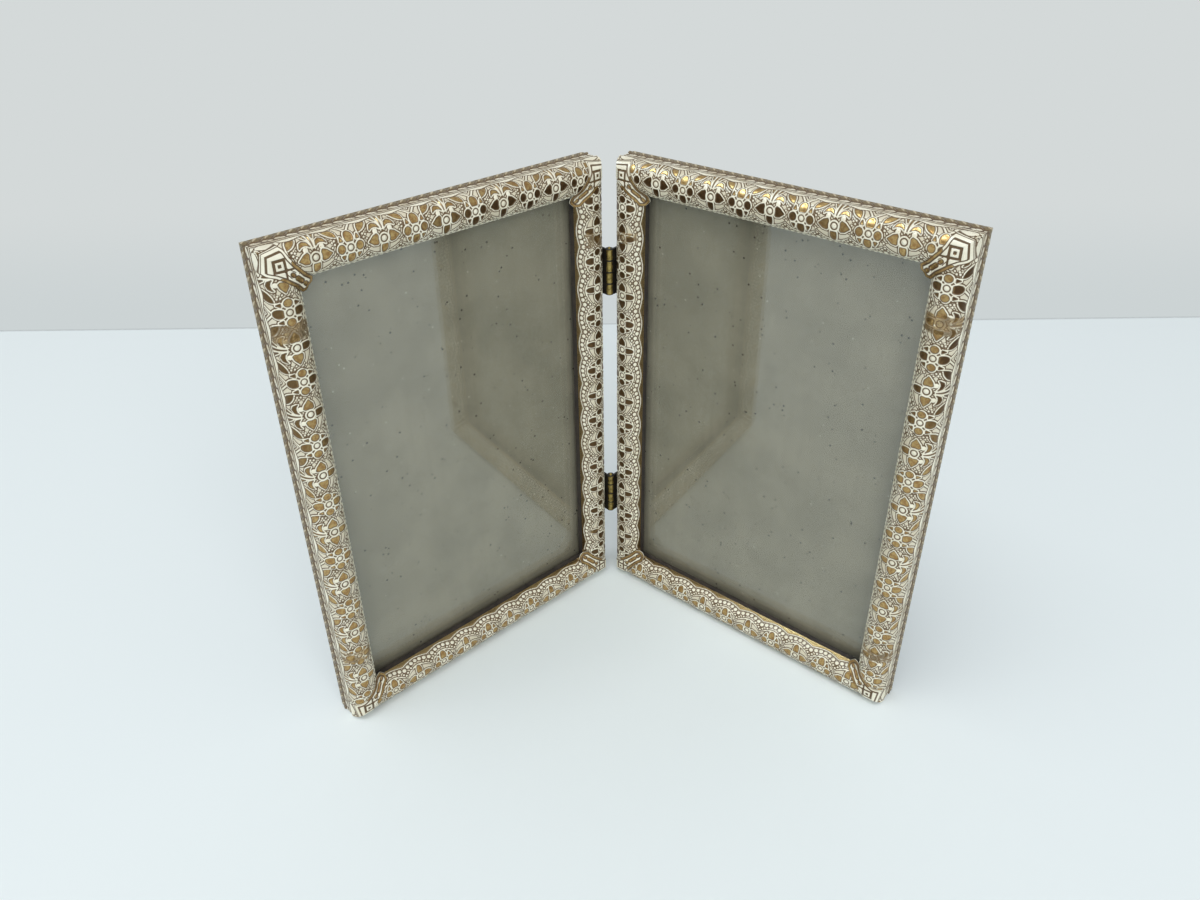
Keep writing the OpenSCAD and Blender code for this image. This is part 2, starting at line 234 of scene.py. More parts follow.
def line(x, y, points, half):
    best = np.full(np.shape(x), 1e3)
    for (ax, ay), (bx, by) in zip(points, points[1:]):
        dx, dy = bx - ax, by - ay
        part = np.clip(((x - ax) * dx + (y - ay) * dy) / (dx * dx + dy * dy), 0, 1)
        best = np.minimum(best, np.hypot(x - ax - part * dx, y - ay - part * dy))
    return best - half


def polygon(x, y, corners, rounding=0.0):
    closed = list(corners) + [corners[0]]
    inside = np.zeros(np.shape(x), bool)
    for (ax, ay), (bx, by) in zip(closed, closed[1:]):
        if ay != by:
            inside ^= ((ay > y) != (by > y)) & (x < (bx - ax) * (y - ay) / (by - ay) + ax)
    edge = line(x, y, closed, 0)
    return np.where(inside, -edge, edge) - rounding


def leaf(x, y, start, end, half):
    middle_x, middle_y = (start[0] + end[0]) / 2, (start[1] + end[1]) / 2
    length = math.hypot(end[0] - start[0], end[1] - start[1])
    ux, uy = (end[0] - start[0]) / length, (end[1] - start[1]) / length
    along = (x - middle_x) * ux + (y - middle_y) * uy
    across = (x - middle_x) * -uy + (y - middle_y) * ux
    radius = ((length / 2) ** 2 + half ** 2) / (2 * half)
    return np.hypot(along, np.abs(across) + radius - half) - radius


def union(*shapes):
    return np.minimum.reduce(shapes)


def soft(value, low, high):
    part = np.clip((value - low) / (high - low), 0, 1)
    return part * part * (3 - 2 * part)


# The section of the cladding, unrolled from the lip over the face to the back

def dome_point(angle, out=0.0):
    reach = CREST_V - ROPE_OUT + out
    bend = 2 / DOME_POWER
    cos = math.cos(angle)
    v = CREST_V - reach * math.copysign(abs(cos) ** bend, cos)
    return (v, DOME_D - (DOME_D + out) * math.sin(angle) ** bend)


def dome_points(steps, out=0.0):
    return [dome_point(DOME_END * step / steps, out) for step in range(steps + 1)]


def rope_points(steps, skin=0.0):
    half = ROPE_W / 2
    radius = (half ** 2 + ROPE_OUT ** 2) / (2 * ROPE_OUT)
    start = math.asin((half - skin) / (radius - skin))
    end = -math.acos((radius - ROPE_OUT - skin) / (radius - skin))
    angles = [start + (end - start) * step / steps for step in range(steps + 1)]
    return [(radius - (radius - skin) * math.cos(angle),
             DEPTH - half + (radius - skin) * math.sin(angle)) for angle in angles]


def groove_points(skin=0.0):
    return [(ROPE_OUT + skin, DOME_D + GROOVE_W), (ROPE_OUT + skin + GROOVE_D, DOME_D + GROOVE_W / 2)]


def outer_path():
    """The seen side of the section, from the lip's edge over the face to the back edge."""
    back = rope_points(16) + groove_points() + dome_points(72)
    return [(FACE_W, LIP_DEPTH)] + back[::-1]


def inner_path():
    """The hidden side, from the back edge round the flange and inside the skin to the lip."""
    back = rope_points(2, SKIN_T) + groove_points(SKIN_T) + dome_points(6, -SKIN_T)
    return [(FLANGE_W, DEPTH), (FLANGE_W, DEPTH - SKIN_T)] + back + [(FACE_W - SKIN_T, LIP_DEPTH)]


def lengths(path):
    path = np.array(path)
    return np.concatenate([[0], np.cumsum(np.hypot(*np.diff(path, axis=0).T))])


FOOT = min(v for v, depth in rope_points(5))


# The embossed ornament. u is the unrolled distance from the lip, in millimetres.

ROSETTE_U = 8.4
SIDE_START = 16.76
BAND_U = 19.2
BAND_HALF = 0.88
ROPE_START = 20.1
ROPE_END = 22.92
ROPE_CUT = 0.42
ROPE_SLANT = 0.9
RELIEF_TOP = 0.28
WELD = 0.004
LOBE_END = 4.3
LOBE_U = 15.2
LOBE_HALF = (3.4, 1.25)
LOBE_REACH = 8.5
BEADS = ((0.0, 2.1), (1.72, 2.3), (3.44, 2.8), (5.15, 3.4))
SMALL_BEADS = ((2.6, 3.75), (4.3, 4.6), (5.15, 5.3))
PEBBLES = ((3.5, 10.55), (4.25, 11.1), (5.0, 10.75), (4.3, 10.15), (5.7, 11.35), (3.7, 11.75),
           (4.75, 6.75), (5.5, 7.3), (4.2, 7.35), (5.15, 9.55))


def face_ornament(rosette, u, half):
    """Cells, ribs, lines and bare metal of the rounded face. rosette is the distance along from the
    round flower, u the unrolled distance from the lip, half the distance between two flowers."""
    star = half - rosette
    valley = half / 2
    near = np.where(rosette < valley, rosette, star)
    cells = union(
        oval(rosette - 2.75, u - 8.43, 1.05, 1.14),
        np.maximum(oval(rosette, u - 5.75, 1.08, 1.65), u - 6.75),
        np.maximum(oval(rosette, u - 11.25, 1.2, 1.65), 10.1 - u),
        polygon(rosette, u, [(1.9, 6.5), (2.85, 6.5), (2.2, 5.4)], 0.06),
        polygon(rosette, u, [(2.05, 10.5), (2.85, 10.5), (2.5, 11.5)], 0.08),
        polygon(star, u, [(1.85, 9.5), (2.2, 9.95), (3.3, 9.6), (4.7, 8.4), (3.3, 7.35), (2.2, 7.2),
                          (1.85, 7.5), (2.0, 8.5)], 0.06),
        np.maximum(oval(star, u - 5.95, 0.95, 1.85), u - 6.75),
        polygon(star, u, [(0.85, 11.4), (1.3, 12.6), (2.3, 13.15), (3.2, 12.7), (3.85, 11.4),
                          (3.2, 11.85), (2.3, 12.05), (1.4, 11.85)], 0.03),
        leaf(star, u, (3.7, 15.9), (7.0, 11.95), 0.95),
        polygon(star, u, [(0, 11.2), (0.24, 15.9), (-0.24, 15.9)], 0.03),
        polygon(star, u, [(0.95, 13.7), (2.2, 16.1), (1.35, 16.2)], 0.05),
    )
    arch = 3.9 + 2.2 * (near / valley) ** 1.9
    wave = 1.0 + 1.1 * (near / valley) ** 1.6
    beads = union(*[oval(near - x, u - y, 0.84, 0.78) for x, y in BEADS],
                  *[oval(near - x, u - y, 0.54, 0.48) for x, y in SMALL_BEADS])
    pebbles = union(*[disc(rosette - x, u - y, 0.33) for x, y in PEBBLES])
    eyes = union(disc(rosette, u - ROSETTE_U, 0.72), disc(star, u - ROSETTE_U, 0.78))
    ribs = union(
        np.where(cells > -0.1, cells - 0.5, 1.0),
        np.abs(u - arch) - 0.28,
        np.abs(u - wave) - 0.2,
        ring(rosette, u - ROSETTE_U, 1.3, 0.24),
        ring(star, u - ROSETTE_U, 1.4, 0.24),
        line(rosette, u, [(0.35, 13.1), (1.5, 14.5), (2.4, 15.6), (3.2, 16.6)], 0.28),
        line(rosette, u, [(0, 15.0), (0.9, 16.1), (1.3, 16.6)], 0.24),
        line(star, u, [(0.5, 10.6), (0.62, 13.2), (0.95, 16.5)], 0.22),
        disc(star - 2.3, u - 10.75, 0.75),
    )
    eye_rims = np.where(eyes > -0.4, np.abs(eyes - 0.16) - 0.13, 1.0)
    lines = union(
        eye_rims,
        np.abs(ribs - 0.13) - 0.14,
        np.abs(beads) - 0.17,
        np.abs(pebbles - 0.08) - 0.1,
        line(rosette, u, [(0, 15.8), (0, 15.3)], 0.14),
    )
    lines = np.where(cells < 0.25, np.maximum(lines, 0.25 - cells), lines)
    lines = np.where(beads < -0.05, np.maximum(lines, -beads - 0.12), lines)
    scroll = 15.3 + 0.5 * np.cos(math.pi * rosette / valley)
    shoulder = u > scroll - 0.2
    cells = np.where(shoulder, np.maximum(cells, u - scroll + 0.2), cells)
    lines = np.where(shoulder, np.abs(u - scroll) - 0.17, lines)
    ribs = np.where(shoulder, -0.2, ribs)
    bare = u - wave + 0.32
    bumps = union(eyes + 0.1, beads + 0.15, pebbles)
    return cells, ribs, lines, bare, bumps


def strip_fields(x, u, pitch, strands):
    """Relief in millimetres, distances to gold cells, brown lines and bare metal, and how thin the wash
    is, which on the rope also carries its dirt, painted shade and painted highlights. x is the distance
    along the rail from a round flower."""
    rosette = np.abs((x + pitch / 2) % pitch - pitch / 2)
    cells, ribs, lines, bare, bumps = face_ornament(rosette, u, pitch / 2)
    rib = 1 - soft(ribs, -0.12, 0.12)
    inside = 1 - soft(cells, -0.1, 0.14)
    relief = 0.1 + 0.14 * rib
    relief = np.maximum(relief, RELIEF_TOP * (1 - soft(bumps, -0.45, 0.05)))
    relief = relief * (0.3 + 0.7 * soft(lines, -0.08, 0.12))
    relief = relief * (1 - inside) + inside * (0.02 + 0.07 * soft(-cells, 0.1, 0.8))
    face = 1 - soft(u, SIDE_START - 0.7, SIDE_START - 0.1)
    relief = relief * soft(u, 0.2, 1.0) * face
    thin = 0.33 * (1 - rib) * soft(bumps, -0.1, 0.1)

    step = pitch / strands
    strand = ((x + ROPE_SLANT * (u - ROPE_START)) / step) % 1
    crest = np.minimum(strand / 0.7, (1 - strand) / 0.3)
    on_rope = soft(u, ROPE_START - 0.1, ROPE_START + 0.1) * (1 - soft(u, ROPE_END, ROPE_END + 0.1))
    relief = relief - ROPE_CUT * on_rope * (1 - soft(crest, 0.0, 0.9))
    dash_u = u - BAND_U
    dash_x = (((x - ROPE_SLANT * dash_u) / step) % 1 - 0.5) * step
    on_band = np.abs(dash_u) < BAND_HALF
    dash = oval(dash_x, dash_u, 1.4, 0.64)
    relief = np.where(on_band, -0.14 + 0.14 * (1 - soft(dash, -0.35, 0.1)), relief)
    gaps = np.where(on_band, -np.maximum(dash, np.abs(dash_u) - 0.75), 1.0)
    eye = np.where(on_band, disc(dash_x, dash_u, 0.2), 1.0)
    past = u > ROPE_START
    notch = np.where(past, (crest - 0.16) * 0.9, 1.0)
    side_lines = union(
        np.abs(u - 17.15) - 0.28, np.abs(u - 18.1) - 0.22, gaps, eye,
        np.abs(u - ROPE_START) - 0.14, notch)
    # Painted highlight: a light streak along each strand (glint); the rest of the rope takes dirt and
    # painted shade
    glint = np.abs(strand - 0.58) - 0.1 * (1 - soft(np.abs(u - 21.5), 0.4, 1.3))
    rope_grime_shade_highlight = 0.72 + 0.28 * soft(glint, -0.02, 0.06)
    side = u > SIDE_START
    cells = np.where(side, 1.0, cells)
    lines = np.where(side, side_lines, lines)
    bare = np.where(side, 1.0, bare)
    thin = np.where(side, np.where(past, rope_grime_shade_highlight, 0.1), thin)
    return relief, cells, lines, bare, thin


# Meshes

def new_mesh(name, points, faces, values=None):
    mesh = bpy.data.meshes.new(name)
    faces = np.asarray(faces, dtype=np.int32)
    mesh.vertices.add(len(points))
    mesh.vertices.foreach_set("co", np.asarray(points, dtype=np.float32).ravel())
    mesh.loops.add(faces.size)
    mesh.loops.foreach_set("vertex_index", faces.ravel())
    mesh.polygons.add(len(faces))
    size = faces.shape[1]
    mesh.polygons.foreach_set("loop_start", np.arange(0, faces.size, size, dtype=np.int32))
    mesh.polygons.foreach_set("loop_total", np.full(len(faces), size, dtype=np.int32))
    mesh.update(calc_edges=True)
    for key, value in (values or {}).items():
        layer = mesh.attributes.new(key, "FLOAT", "POINT")
        layer.data.foreach_set("value", np.asarray(value, dtype=np.float32).ravel())
    return mesh


def grid_faces(rows, columns):
    first = (np.arange(rows - 1)[:, None] * columns + np.arange(columns - 1)[None, :]).ravel()
    return np.stack([first, first + 1, first + columns + 1, first + columns], axis=1)


def new_object(name, mesh):
    made = bpy.data.objects.new(name, mesh)
    bpy.context.scene.collection.objects.link(made)
    return made


def strip_tile(settings):
    """One repeat of the ornament: x along the rail, y round the section, z the relief."""
    pitch = settings.spacing / MM
    fine = settings.fineness / MM
    path_u = lengths(outer_path() + inner_path() + [(FACE_W, LIP_DEPTH)])
    face_end = path_u[len(outer_path()) - 1]
    columns = round(pitch / fine) + 1
    rows = round(face_end / fine) + 1
    u = np.concatenate([np.linspace(0, face_end, rows), path_u[len(outer_path()):]])
    x = np.linspace(0, pitch, columns)
    grid_x, grid_u = np.meshgrid(x, u)
    relief, cells, lines, bare, thin = strip_fields(grid_x, grid_u, pitch, settings.strands)
    hidden = grid_u > face_end - 1e-6
    edge = (grid_u < 1e-6) | hidden
    relief = np.where(edge, 0, relief * settings.relief / (RELIEF_TOP * MM))
    around = np.where(grid_u > path_u[-1] - 1e-6, 0, grid_u)
    points = np.stack([grid_x, grid_u, relief], axis=-1).reshape(-1, 3)
    values = {
        "cell": np.where(hidden, 1, cells), "ink_and_shadow": np.where(hidden, 1, lines),
        "bare": np.where(hidden, 0.5, bare), "thin": np.where(hidden, 1, thin),
        "relief": relief, "around": around,
    }
    return new_mesh("ornament", points, grid_faces(len(u), columns)[:, ::-1], values)


def section_curve():
    curve = bpy.data.curves.new("moulding_section", "CURVE")
    curve.dimensions = "3D"
    path = outer_path() + inner_path()
    spline = curve.splines.new("POLY")
    spline.points.add(len(path) - 1)
    for point, (v, depth) in zip(spline.points, path):
        point.co = (v, depth, 0, 1)
    spline.use_cyclic_u = True
    return new_object("moulding_section", curve)


def add_node(tree, kind, inputs=None, **settings):
    """Adds a node, sets it up, feeds its inputs with sockets or plain values, gives its outputs."""
    made = tree.nodes.new(kind)
    for key, value in settings.items():
        setattr(made, key, value)
    for key, value in (inputs or {}).items():
        if isinstance(value, bpy.types.NodeSocket):
            tree.links.new(value, made.inputs[key])
        elif value is not None:
            made.inputs[key].default_value = value
    return made.outputs


def wrap_tree():
    """Repeats the ornament along a rail and wraps it round the moulding's section."""
    tree = bpy.data.node_groups.new("Wrap ornament round moulding", "GeometryNodeTree")
    for name, kind in (("Ornament", "Geometry"), ("Section", "Object"), ("Repeats", "Int"),
                       ("Spacing", "Float"), ("Start", "Float"), ("Finish", "Material")):
        tree.interface.new_socket(name, in_out="INPUT", socket_type=f"NodeSocket{kind}")
    tree.interface.new_socket("Cladding", in_out="OUTPUT", socket_type="NodeSocketGeometry")

    def node(kind, inputs=None, **settings):
        return add_node(tree, kind, inputs, **settings)

    given = node("NodeGroupInput")
    step = node("ShaderNodeCombineXYZ", {"X": given["Spacing"]})[0]
    first = node("ShaderNodeCombineXYZ", {"X": given["Start"]})[0]
    row = node("GeometryNodeMeshLine", {
        "Count": given["Repeats"], "Start Location": first, "Offset": step}, mode="OFFSET")[0]
    copies = node("GeometryNodeInstanceOnPoints", {"Points": row, "Instance": given["Ornament"]})[0]
    strip = node("GeometryNodeRealizeInstances", {"Geometry": copies})[0]
    flat = node("ShaderNodeSeparateXYZ", {"Vector": node("GeometryNodeInputPosition")[0]})
    section = node("GeometryNodeObjectInfo", {"Object": given["Section"]}, transform_space="ORIGINAL")
    sample = node("GeometryNodeSampleCurve", {"Curves": section["Geometry"], "Length": flat["Y"]},
                  mode="LENGTH", data_type="FLOAT")
    spot = node("ShaderNodeSeparateXYZ", {"Vector": sample["Position"]})
    tangent = node("ShaderNodeSeparateXYZ", {"Vector": sample["Tangent"]})
    out_v = node("ShaderNodeMath", {0: tangent["Y"], 1: -1}, operation="MULTIPLY")[0]
    v = node("ShaderNodeMath", {0: out_v, 1: flat["Z"], 2: spot["X"]}, operation="MULTIPLY_ADD")[0]
    depth = node("ShaderNodeMath", {0: tangent["X"], 1: flat["Z"], 2: spot["Y"]},
                 operation="MULTIPLY_ADD")[0]
    target = node("ShaderNodeCombineXYZ", {"X": v, "Y": depth, "Z": flat["X"]})[0]
    wrapped = node("GeometryNodeSetPosition", {"Geometry": strip, "Position": target})[0]
    welded = node("GeometryNodeMergeByDistance", {"Geometry": wrapped, "Distance": WELD})[0]
    dressed = node("GeometryNodeSetMaterial", {"Geometry": welded, "Material": given["Finish"]})[0]
    node("NodeGroupOutput", {"Cladding": dressed})
    return tree


@contextmanager
def editing(mesh, source=None):
    """A bmesh of the mesh or of its source, written to the mesh at the end."""
    work = bmesh.new()
    work.from_mesh(source or mesh)
    yield work
    work.to_mesh(mesh)
    work.free()


def bake(made, modifier, **options):
    """Keeps what the modifier gives as the object's plain mesh."""
    graph = bpy.context.evaluated_depsgraph_get()
    graph.update()
    result = bpy.data.meshes.new_from_object(made.evaluated_get(graph), depsgraph=graph, **options)
    made.modifiers.remove(modifier)
    if not result.polygons:
        raise RuntimeError(f"the modifier left {made.name} empty")
    made.data = result


def grow(made, tree, inputs):
    """Runs the node tree on the object once."""
    modifier = made.modifiers.new("Growth", "NODES")
    modifier.node_group = tree
    names = {item.name: item.identifier for item in tree.interface.items_tree if item.in_out == "INPUT"}
    for key, value in inputs.items():
        modifier[names[key]] = value
    bake(made, modifier, preserve_all_data_layers=True)


def mitre(mesh, length):
    """Cuts a strip at its two mitres and closes the cuts."""
    slope = math.sqrt(0.5)
    with editing(mesh) as work:
        for origin, normal in (((0, 0, 0), (slope, 0, -slope)), ((0, 0, length), (slope, 0, slope))):
            geometry = work.verts[:] + work.edges[:] + work.faces[:]
            found = bmesh.ops.bisect_plane(
                work, geom=geometry, dist=1e-5, plane_co=origin, plane_no=normal, clear_outer=True)
            rim = [item for item in found["geom_cut"] if isinstance(item, bmesh.types.BMEdge)]
            bmesh.ops.contextual_create(work, geom=rim)
        bmesh.ops.triangulate(work, faces=[face for face in work.faces if len(face.verts) > 4])
        open_edges = sum(1 for edge in work.edges if not edge.is_manifold)
        if open_edges:
            print(mesh.name, "open edges", open_edges)


def turn_outwards(mesh):
    """Flips a closed mesh whose faces point into it."""
    with editing(mesh) as work:
        if work.calc_volume(signed=True) < 0:
            bmesh.ops.reverse_faces(work, faces=work.faces[:])


def read_points(mesh):
    points = np.empty(len(mesh.vertices) * 3, dtype=np.float32)
    mesh.vertices.foreach_get("co", points)
    return points.reshape(-1, 3).astype(np.float64)


def read_value(mesh, name):
    values = np.empty(len(mesh.vertices), dtype=np.float32)
    mesh.attributes[name].data.foreach_get("value", values)
    return values


def add_value(mesh, name, values):
    layer = mesh.attributes.get(name) or mesh.attributes.new(name, "FLOAT", "POINT")
    layer.data.foreach_set("value", np.asarray(values, dtype=np.float32).ravel())


def shade(mesh, degrees):
    mesh.polygons.foreach_set("use_smooth", np.ones(len(mesh.polygons), dtype=bool))
    mesh.set_sharp_from_angle(angle=math.radians(degrees))


def hand_over(made, body, slot, *nodes):
    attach(made, body)
    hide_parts(*nodes)


# Finishes

def with_alpha(color):
    return color if isinstance(color, bpy.types.NodeSocket) else (*color, 1)


class Finish:
    """A procedural material, written as formulas on its sockets."""

    def __init__(self, name):
        self.material = bpy.data.materials.new(name)
        self.material.use_nodes = True
        self.tree = self.material.node_tree
        self.tree.nodes.clear()
        self.out = self.tree.nodes.new("ShaderNodeOutputMaterial").inputs["Surface"]
        self.coords = self.node("TexCoord")["Object"]

    def node(self, kind, inputs=None, **settings):
        return add_node(self.tree, "ShaderNode" + kind, inputs, **settings)

    def show(self, shader):
        self.tree.links.new(shader, self.out)
        return self.material

    def math(self, operation, *values):
        return self.node("Math", dict(enumerate(values)), operation=operation)[0]

    def times(self, first, second):
        return self.math("MULTIPLY", first, second)

    def plus(self, first, second):
        return self.math("ADD", first, second)

    def minus(self, first, second):
        return self.math("SUBTRACT", first, second)

    def most(self, first, second):
        return self.math("MAXIMUM", first, second)

    def value(self, name):
        return self.node("Attribute", attribute_name=name)["Fac"]

    def noise(self, scale, detail=3.0, rough=0.55, bend=0.0, vector=None):
        return self.node("TexNoise", {
            "Vector": vector or self.coords, "Scale": scale, "Detail": detail, "Roughness": rough,
            "Distortion": bend})[0]

    def mapped(self, **inputs):
        return self.node("Mapping", {"Vector": self.coords, **inputs})[0]

    def step(self, value, low, high, bottom=0.0, top=1.0):
        return self.node("MapRange", {
            "Value": value, "From Min": low, "From Max": high, "To Min": bottom, "To Max": top},
            interpolation_type="SMOOTHSTEP")[0]

    def mix(self, part, first, second):
        return self.node("Mix", {0: part, 6: with_alpha(first), 7: with_alpha(second)},
                         data_type="RGBA")[2]

    def blend(self, part, first, second):
        return self.node("Mix", {0: part, 2: first, 3: second})[0]

    def shaders(self, part, first, second):
        return self.node("MixShader", {0: part, 1: first, 2: second})[0]

    def bump(self, height, strength, distance):
        return self.node("Bump", {
            "Strength": strength, "Distance": distance, "Height": height})[0]

    def surface(self, color, rough, metal=0.0, normal=None, **constants):
        inputs = {"Base Color": with_alpha(color), "Roughness": rough, "Metallic": metal,
                  "Normal": normal}
        for key, value in constants.items():
            inputs[key.replace("_", " ")] = value
        return self.show(self.node("BsdfPrincipled", inputs)[0])


def foil_finish(settings):
    """Cream wash over embossed foil: gold cells, brown lines, stains, rubbed and worn places; painted
    shade and painted dark reflection in the cells, dirt, painted shade and painted highlights on the
    rope.
    """
    make = Finish("embossed_foil")
    fine = make.noise(2600, 3)
    flecks = make.noise(900, 4, 0.6)
    clouds = make.noise(160, 3)
    blots = make.noise(420, 4, 0.65)
    relief = make.value("relief")
    thin = make.value("thin")
    dark = make.value("dark")
    ragged = make.times(make.minus(flecks, 0.5), 0.14)
    cell = make.plus(make.value("cell"), ragged)
    ink_and_shadow = make.plus(make.value("ink_and_shadow"), make.times(ragged, 0.35))
    bare = make.plus(make.value("bare"), ragged)

    in_cell = make.step(cell, 0.06, -0.06)
    rim = make.step(make.math("ABSOLUTE", make.minus(cell, 0.06)), 0.17, 0.08)
    brown = make.most(make.times(rim, 0.9), make.step(ink_and_shadow, 0.07, -0.03))
    stain = make.times(make.step(relief, 0.14, 0.02), make.step(clouds, 0.35, 0.62, 0.15, 0.5))
    cream = make.mix(make.step(clouds, 0.3, 0.7), settings.cream, settings.cream_shadow)
    cream = make.mix(make.most(stain, thin), cream, settings.stain)
    # On the rope: dirt and painted shade, lighter where the strands carry their painted highlights
    cream = make.mix(make.step(thin, 0.7, 1.0), cream, settings.grime_and_shade)
    gold = make.mix(make.step(flecks, 0.35, 0.65), settings.gold, settings.gold_light)
    # Cells darkened by the painted shade and painted dark reflection of the dark attribute
    gold = make.mix(make.times(dark, make.step(flecks, 0.2, 0.5, 0.75, 1.0)), gold, settings.patina_and_shade)
    color = make.mix(in_cell, cream, gold)
    color = make.mix(brown, color, settings.line)

    chipped = make.times(make.step(flecks, 0.66, 0.72), make.step(relief, 0.1, 0.24))
    rubbed = make.math("MULTIPLY_ADD", make.value("rub"), 0.52, blots)
    rubbed = make.step(rubbed, 0.82, 0.98, 0.0, 0.85)
    rubbed = make.times(rubbed, make.minus(1.0, make.times(brown, 0.75)))
    open_metal = make.most(make.step(bare, 0.08, -0.08), make.most(chipped, rubbed))
    lip = make.step(bare, 0.1, 0.0)
    worn = make.mix(make.step(fine, 0.3, 0.7), settings.gold_light, settings.gold)
    worn = make.mix(make.times(lip, 0.55), worn, settings.stain)
    # The bare lip darkened by the same painted shade
    worn = make.mix(make.times(lip, make.times(dark, 0.55)), worn, settings.patina_and_shade)
    browned = make.times(rubbed, make.step(clouds, 0.62, 0.48, 0.1, 0.95))
    # In the rubbed bands the dark colour stands for real tarnish
    color = make.mix(open_metal, color, make.mix(browned, worn, settings.patina_and_shade))

    metal = make.most(make.times(in_cell, 0.75), open_metal)
    metal = make.times(metal, make.minus(1.0, make.times(brown, 0.7)))
    rough = make.blend(
        metal, make.step(clouds, 0.2, 0.8, 0.3, 0.42), make.step(fine, 0.2, 0.8, 0.24, 0.38))
    return make.surface(color, rough, metal, make.bump(fine, 0.25, 0.00003), IOR=1.5)


def wood_finish(name, dark, light, rough):
    make = Finish(name)
    rings = make.noise(420, 4, 0.6, 0.6)
    pores = make.noise(2400, 2, 0.6)
    color = make.mix(make.step(rings, 0.35, 0.65), dark, light)
    color = make.mix(make.times(make.step(pores, 0.55, 0.7), 0.5), color, (0.004, 0.003, 0.003))
    return make.surface(color, make.step(rings, 0.3, 0.7, rough, rough + 0.12), 0.0,
                        make.bump(rings, 0.3, 0.00005))


def card_finish(settings):
    """Grey chipboard: mottled, faintly streaked, with dark fibres and pale flecks."""
    make = Finish("grey_chipboard")
    clouds = make.noise(55, 4, 0.6)
    grain = make.noise(1100, 4, 0.7)
    streaks = make.noise(420, 2, 0.5, 0, make.mapped(Scale=(1, 1, 0.04)))
    color = make.mix(make.step(clouds, 0.3, 0.7), settings.card, settings.card_dark)
    color = make.mix(make.step(streaks, 0.45, 0.75, 0.0, 0.3), color, settings.card_dark)
    color = make.mix(make.step(grain, 0.5, 0.7, 0.0, 0.2), color, settings.card_dark)
    color = make.mix(make.step(grain, 0.4, 0.26, 0.0, 0.15), color, settings.card_light)
    for scale, radius, seed, tone in ((420.0, 0.2, 210, settings.card_fleck),
                                      (300.0, 0.12, 330, settings.card_light)):
        spots = make.node("TexVoronoi", {"Vector": make.coords, "Scale": scale})
        speck = make.step(spots["Distance"], radius, radius * 0.5)
        chosen = make.step(make.noise(seed, 1), 0.52, 0.58)
        color = make.mix(make.times(speck, chosen), color, tone)
    return make.surface(color, 0.9, 0.0, make.bump(grain, 0.04, 0.00002))


def glass_finish():
    """Clear glass: lets the card through and mirrors what stands before it, more so at a slant."""
    make = Finish("clear_glass")
    slant = make.node("LayerWeight", {"Blend": 0.5})["Facing"]
    part = make.math("MULTIPLY_ADD", make.math("POWER", slant, 5.0), 0.94, 0.055)
    clear = make.node("BsdfTransparent", {"Color": (0.985, 0.995, 0.99, 1)})[0]
    mirror = make.node("BsdfGlossy", {
        "Color": (0.97, 1, 0.985, 1), "Roughness": 0.01})[0]
    return make.show(make.shaders(part, clear, mirror))


def brass_finish(name, settings, tarnish):
    """Aged brass: bright on worn places, brown where it is never touched."""
    make = Finish(name)
    clouds = make.noise(500, 4, 0.6)
    fine = make.noise(3500, 2)
    part = make.step(clouds, 0.62 - 0.35 * tarnish, 0.85 - 0.35 * tarnish)
    color = make.mix(part, settings.brass, settings.brass_dark)
    return make.surface(color, make.step(clouds, 0.3, 0.7, 0.28, 0.45), 1.0,
                        make.bump(fine, 0.2, 0.00002))


def leaf_finish(settings):
    """Hinge leaves: worn brass on the front of the barrel; its sides, the leaves behind it and the joints
    between knuckles are nearly black, as painted shade and painted dark reflection.
    """
    make = Finish("hinge_brass_with_painted_shade")
    middle = make.mapped(Location=(0, -HINGE_Y * MM, 0))
    parts = make.node("SeparateXYZ", {"Vector": middle})
    clouds = make.noise(700, 4, 0.6)
    uneven = make.math("MULTIPLY_ADD", clouds, 0.0008, -0.0004)
    aside = make.plus(make.math("ABSOLUTE", parts["X"]), uneven)
    behind = make.plus(parts["Y"], uneven)
    # Painted dark reflection on the barrel's sides and painted shade on the leaves behind it, in the gap
    # between the frames
    black = make.most(make.step(aside, 0.00085, 0.0011), make.step(behind, -0.0006, -0.0002))
    reach = HINGE_LEN + KNUCKLE_GAP
    low, high = [level - reach / 2 for level in (HINGE_END, OUTER_H - HINGE_END)]
    height = make.math("DIVIDE", parts["Z"], MM)
    upper = make.math("GREATER_THAN", height, OUTER_H / 2)
    along = make.minus(height, make.math("MULTIPLY_ADD", upper, high - low, low))
    pace = reach / KNUCKLES
    joint = make.math("PINGPONG", make.plus(along, 10 * pace), pace / 2)
    # Painted shade at the joints between the knuckles
    black = make.most(black, make.step(joint, 0.38, 0.22))
    color = make.mix(make.step(clouds, 0.4, 0.7), settings.brass, settings.brass_dark)
    color = make.mix(black, color, settings.hinge_shade_black)
    return make.surface(color, make.blend(black, 0.3, 0.5), make.blend(black, 1.0, 0.3),
                        make.bump(clouds, 0.2, 0.00003))


def steel_finish():
    make = Finish("drawn_steel")
    fine = make.noise(2200, 3)
    color = make.mix(make.step(fine, 0.35, 0.65), screen(150, 150, 154), screen(118, 117, 118))
    return make.surface(color, make.step(fine, 0.3, 0.7, 0.25, 0.4), 1.0, make.bump(fine, 0.2, 0.00002))


def fibreboard_finish():
    make = Finish("brown_fibreboard")
    grain = make.noise(900, 4, 0.65)
    clouds = make.noise(70, 3)
    color = make.mix(make.step(clouds, 0.3, 0.7), screen(128, 102, 72), screen(108, 84, 58))
    color = make.mix(make.step(grain, 0.5, 0.7, 0.0, 0.5), color, screen(74, 56, 38))
    return make.surface(color, 0.85, 0.0, make.bump(grain, 0.4, 0.00008))


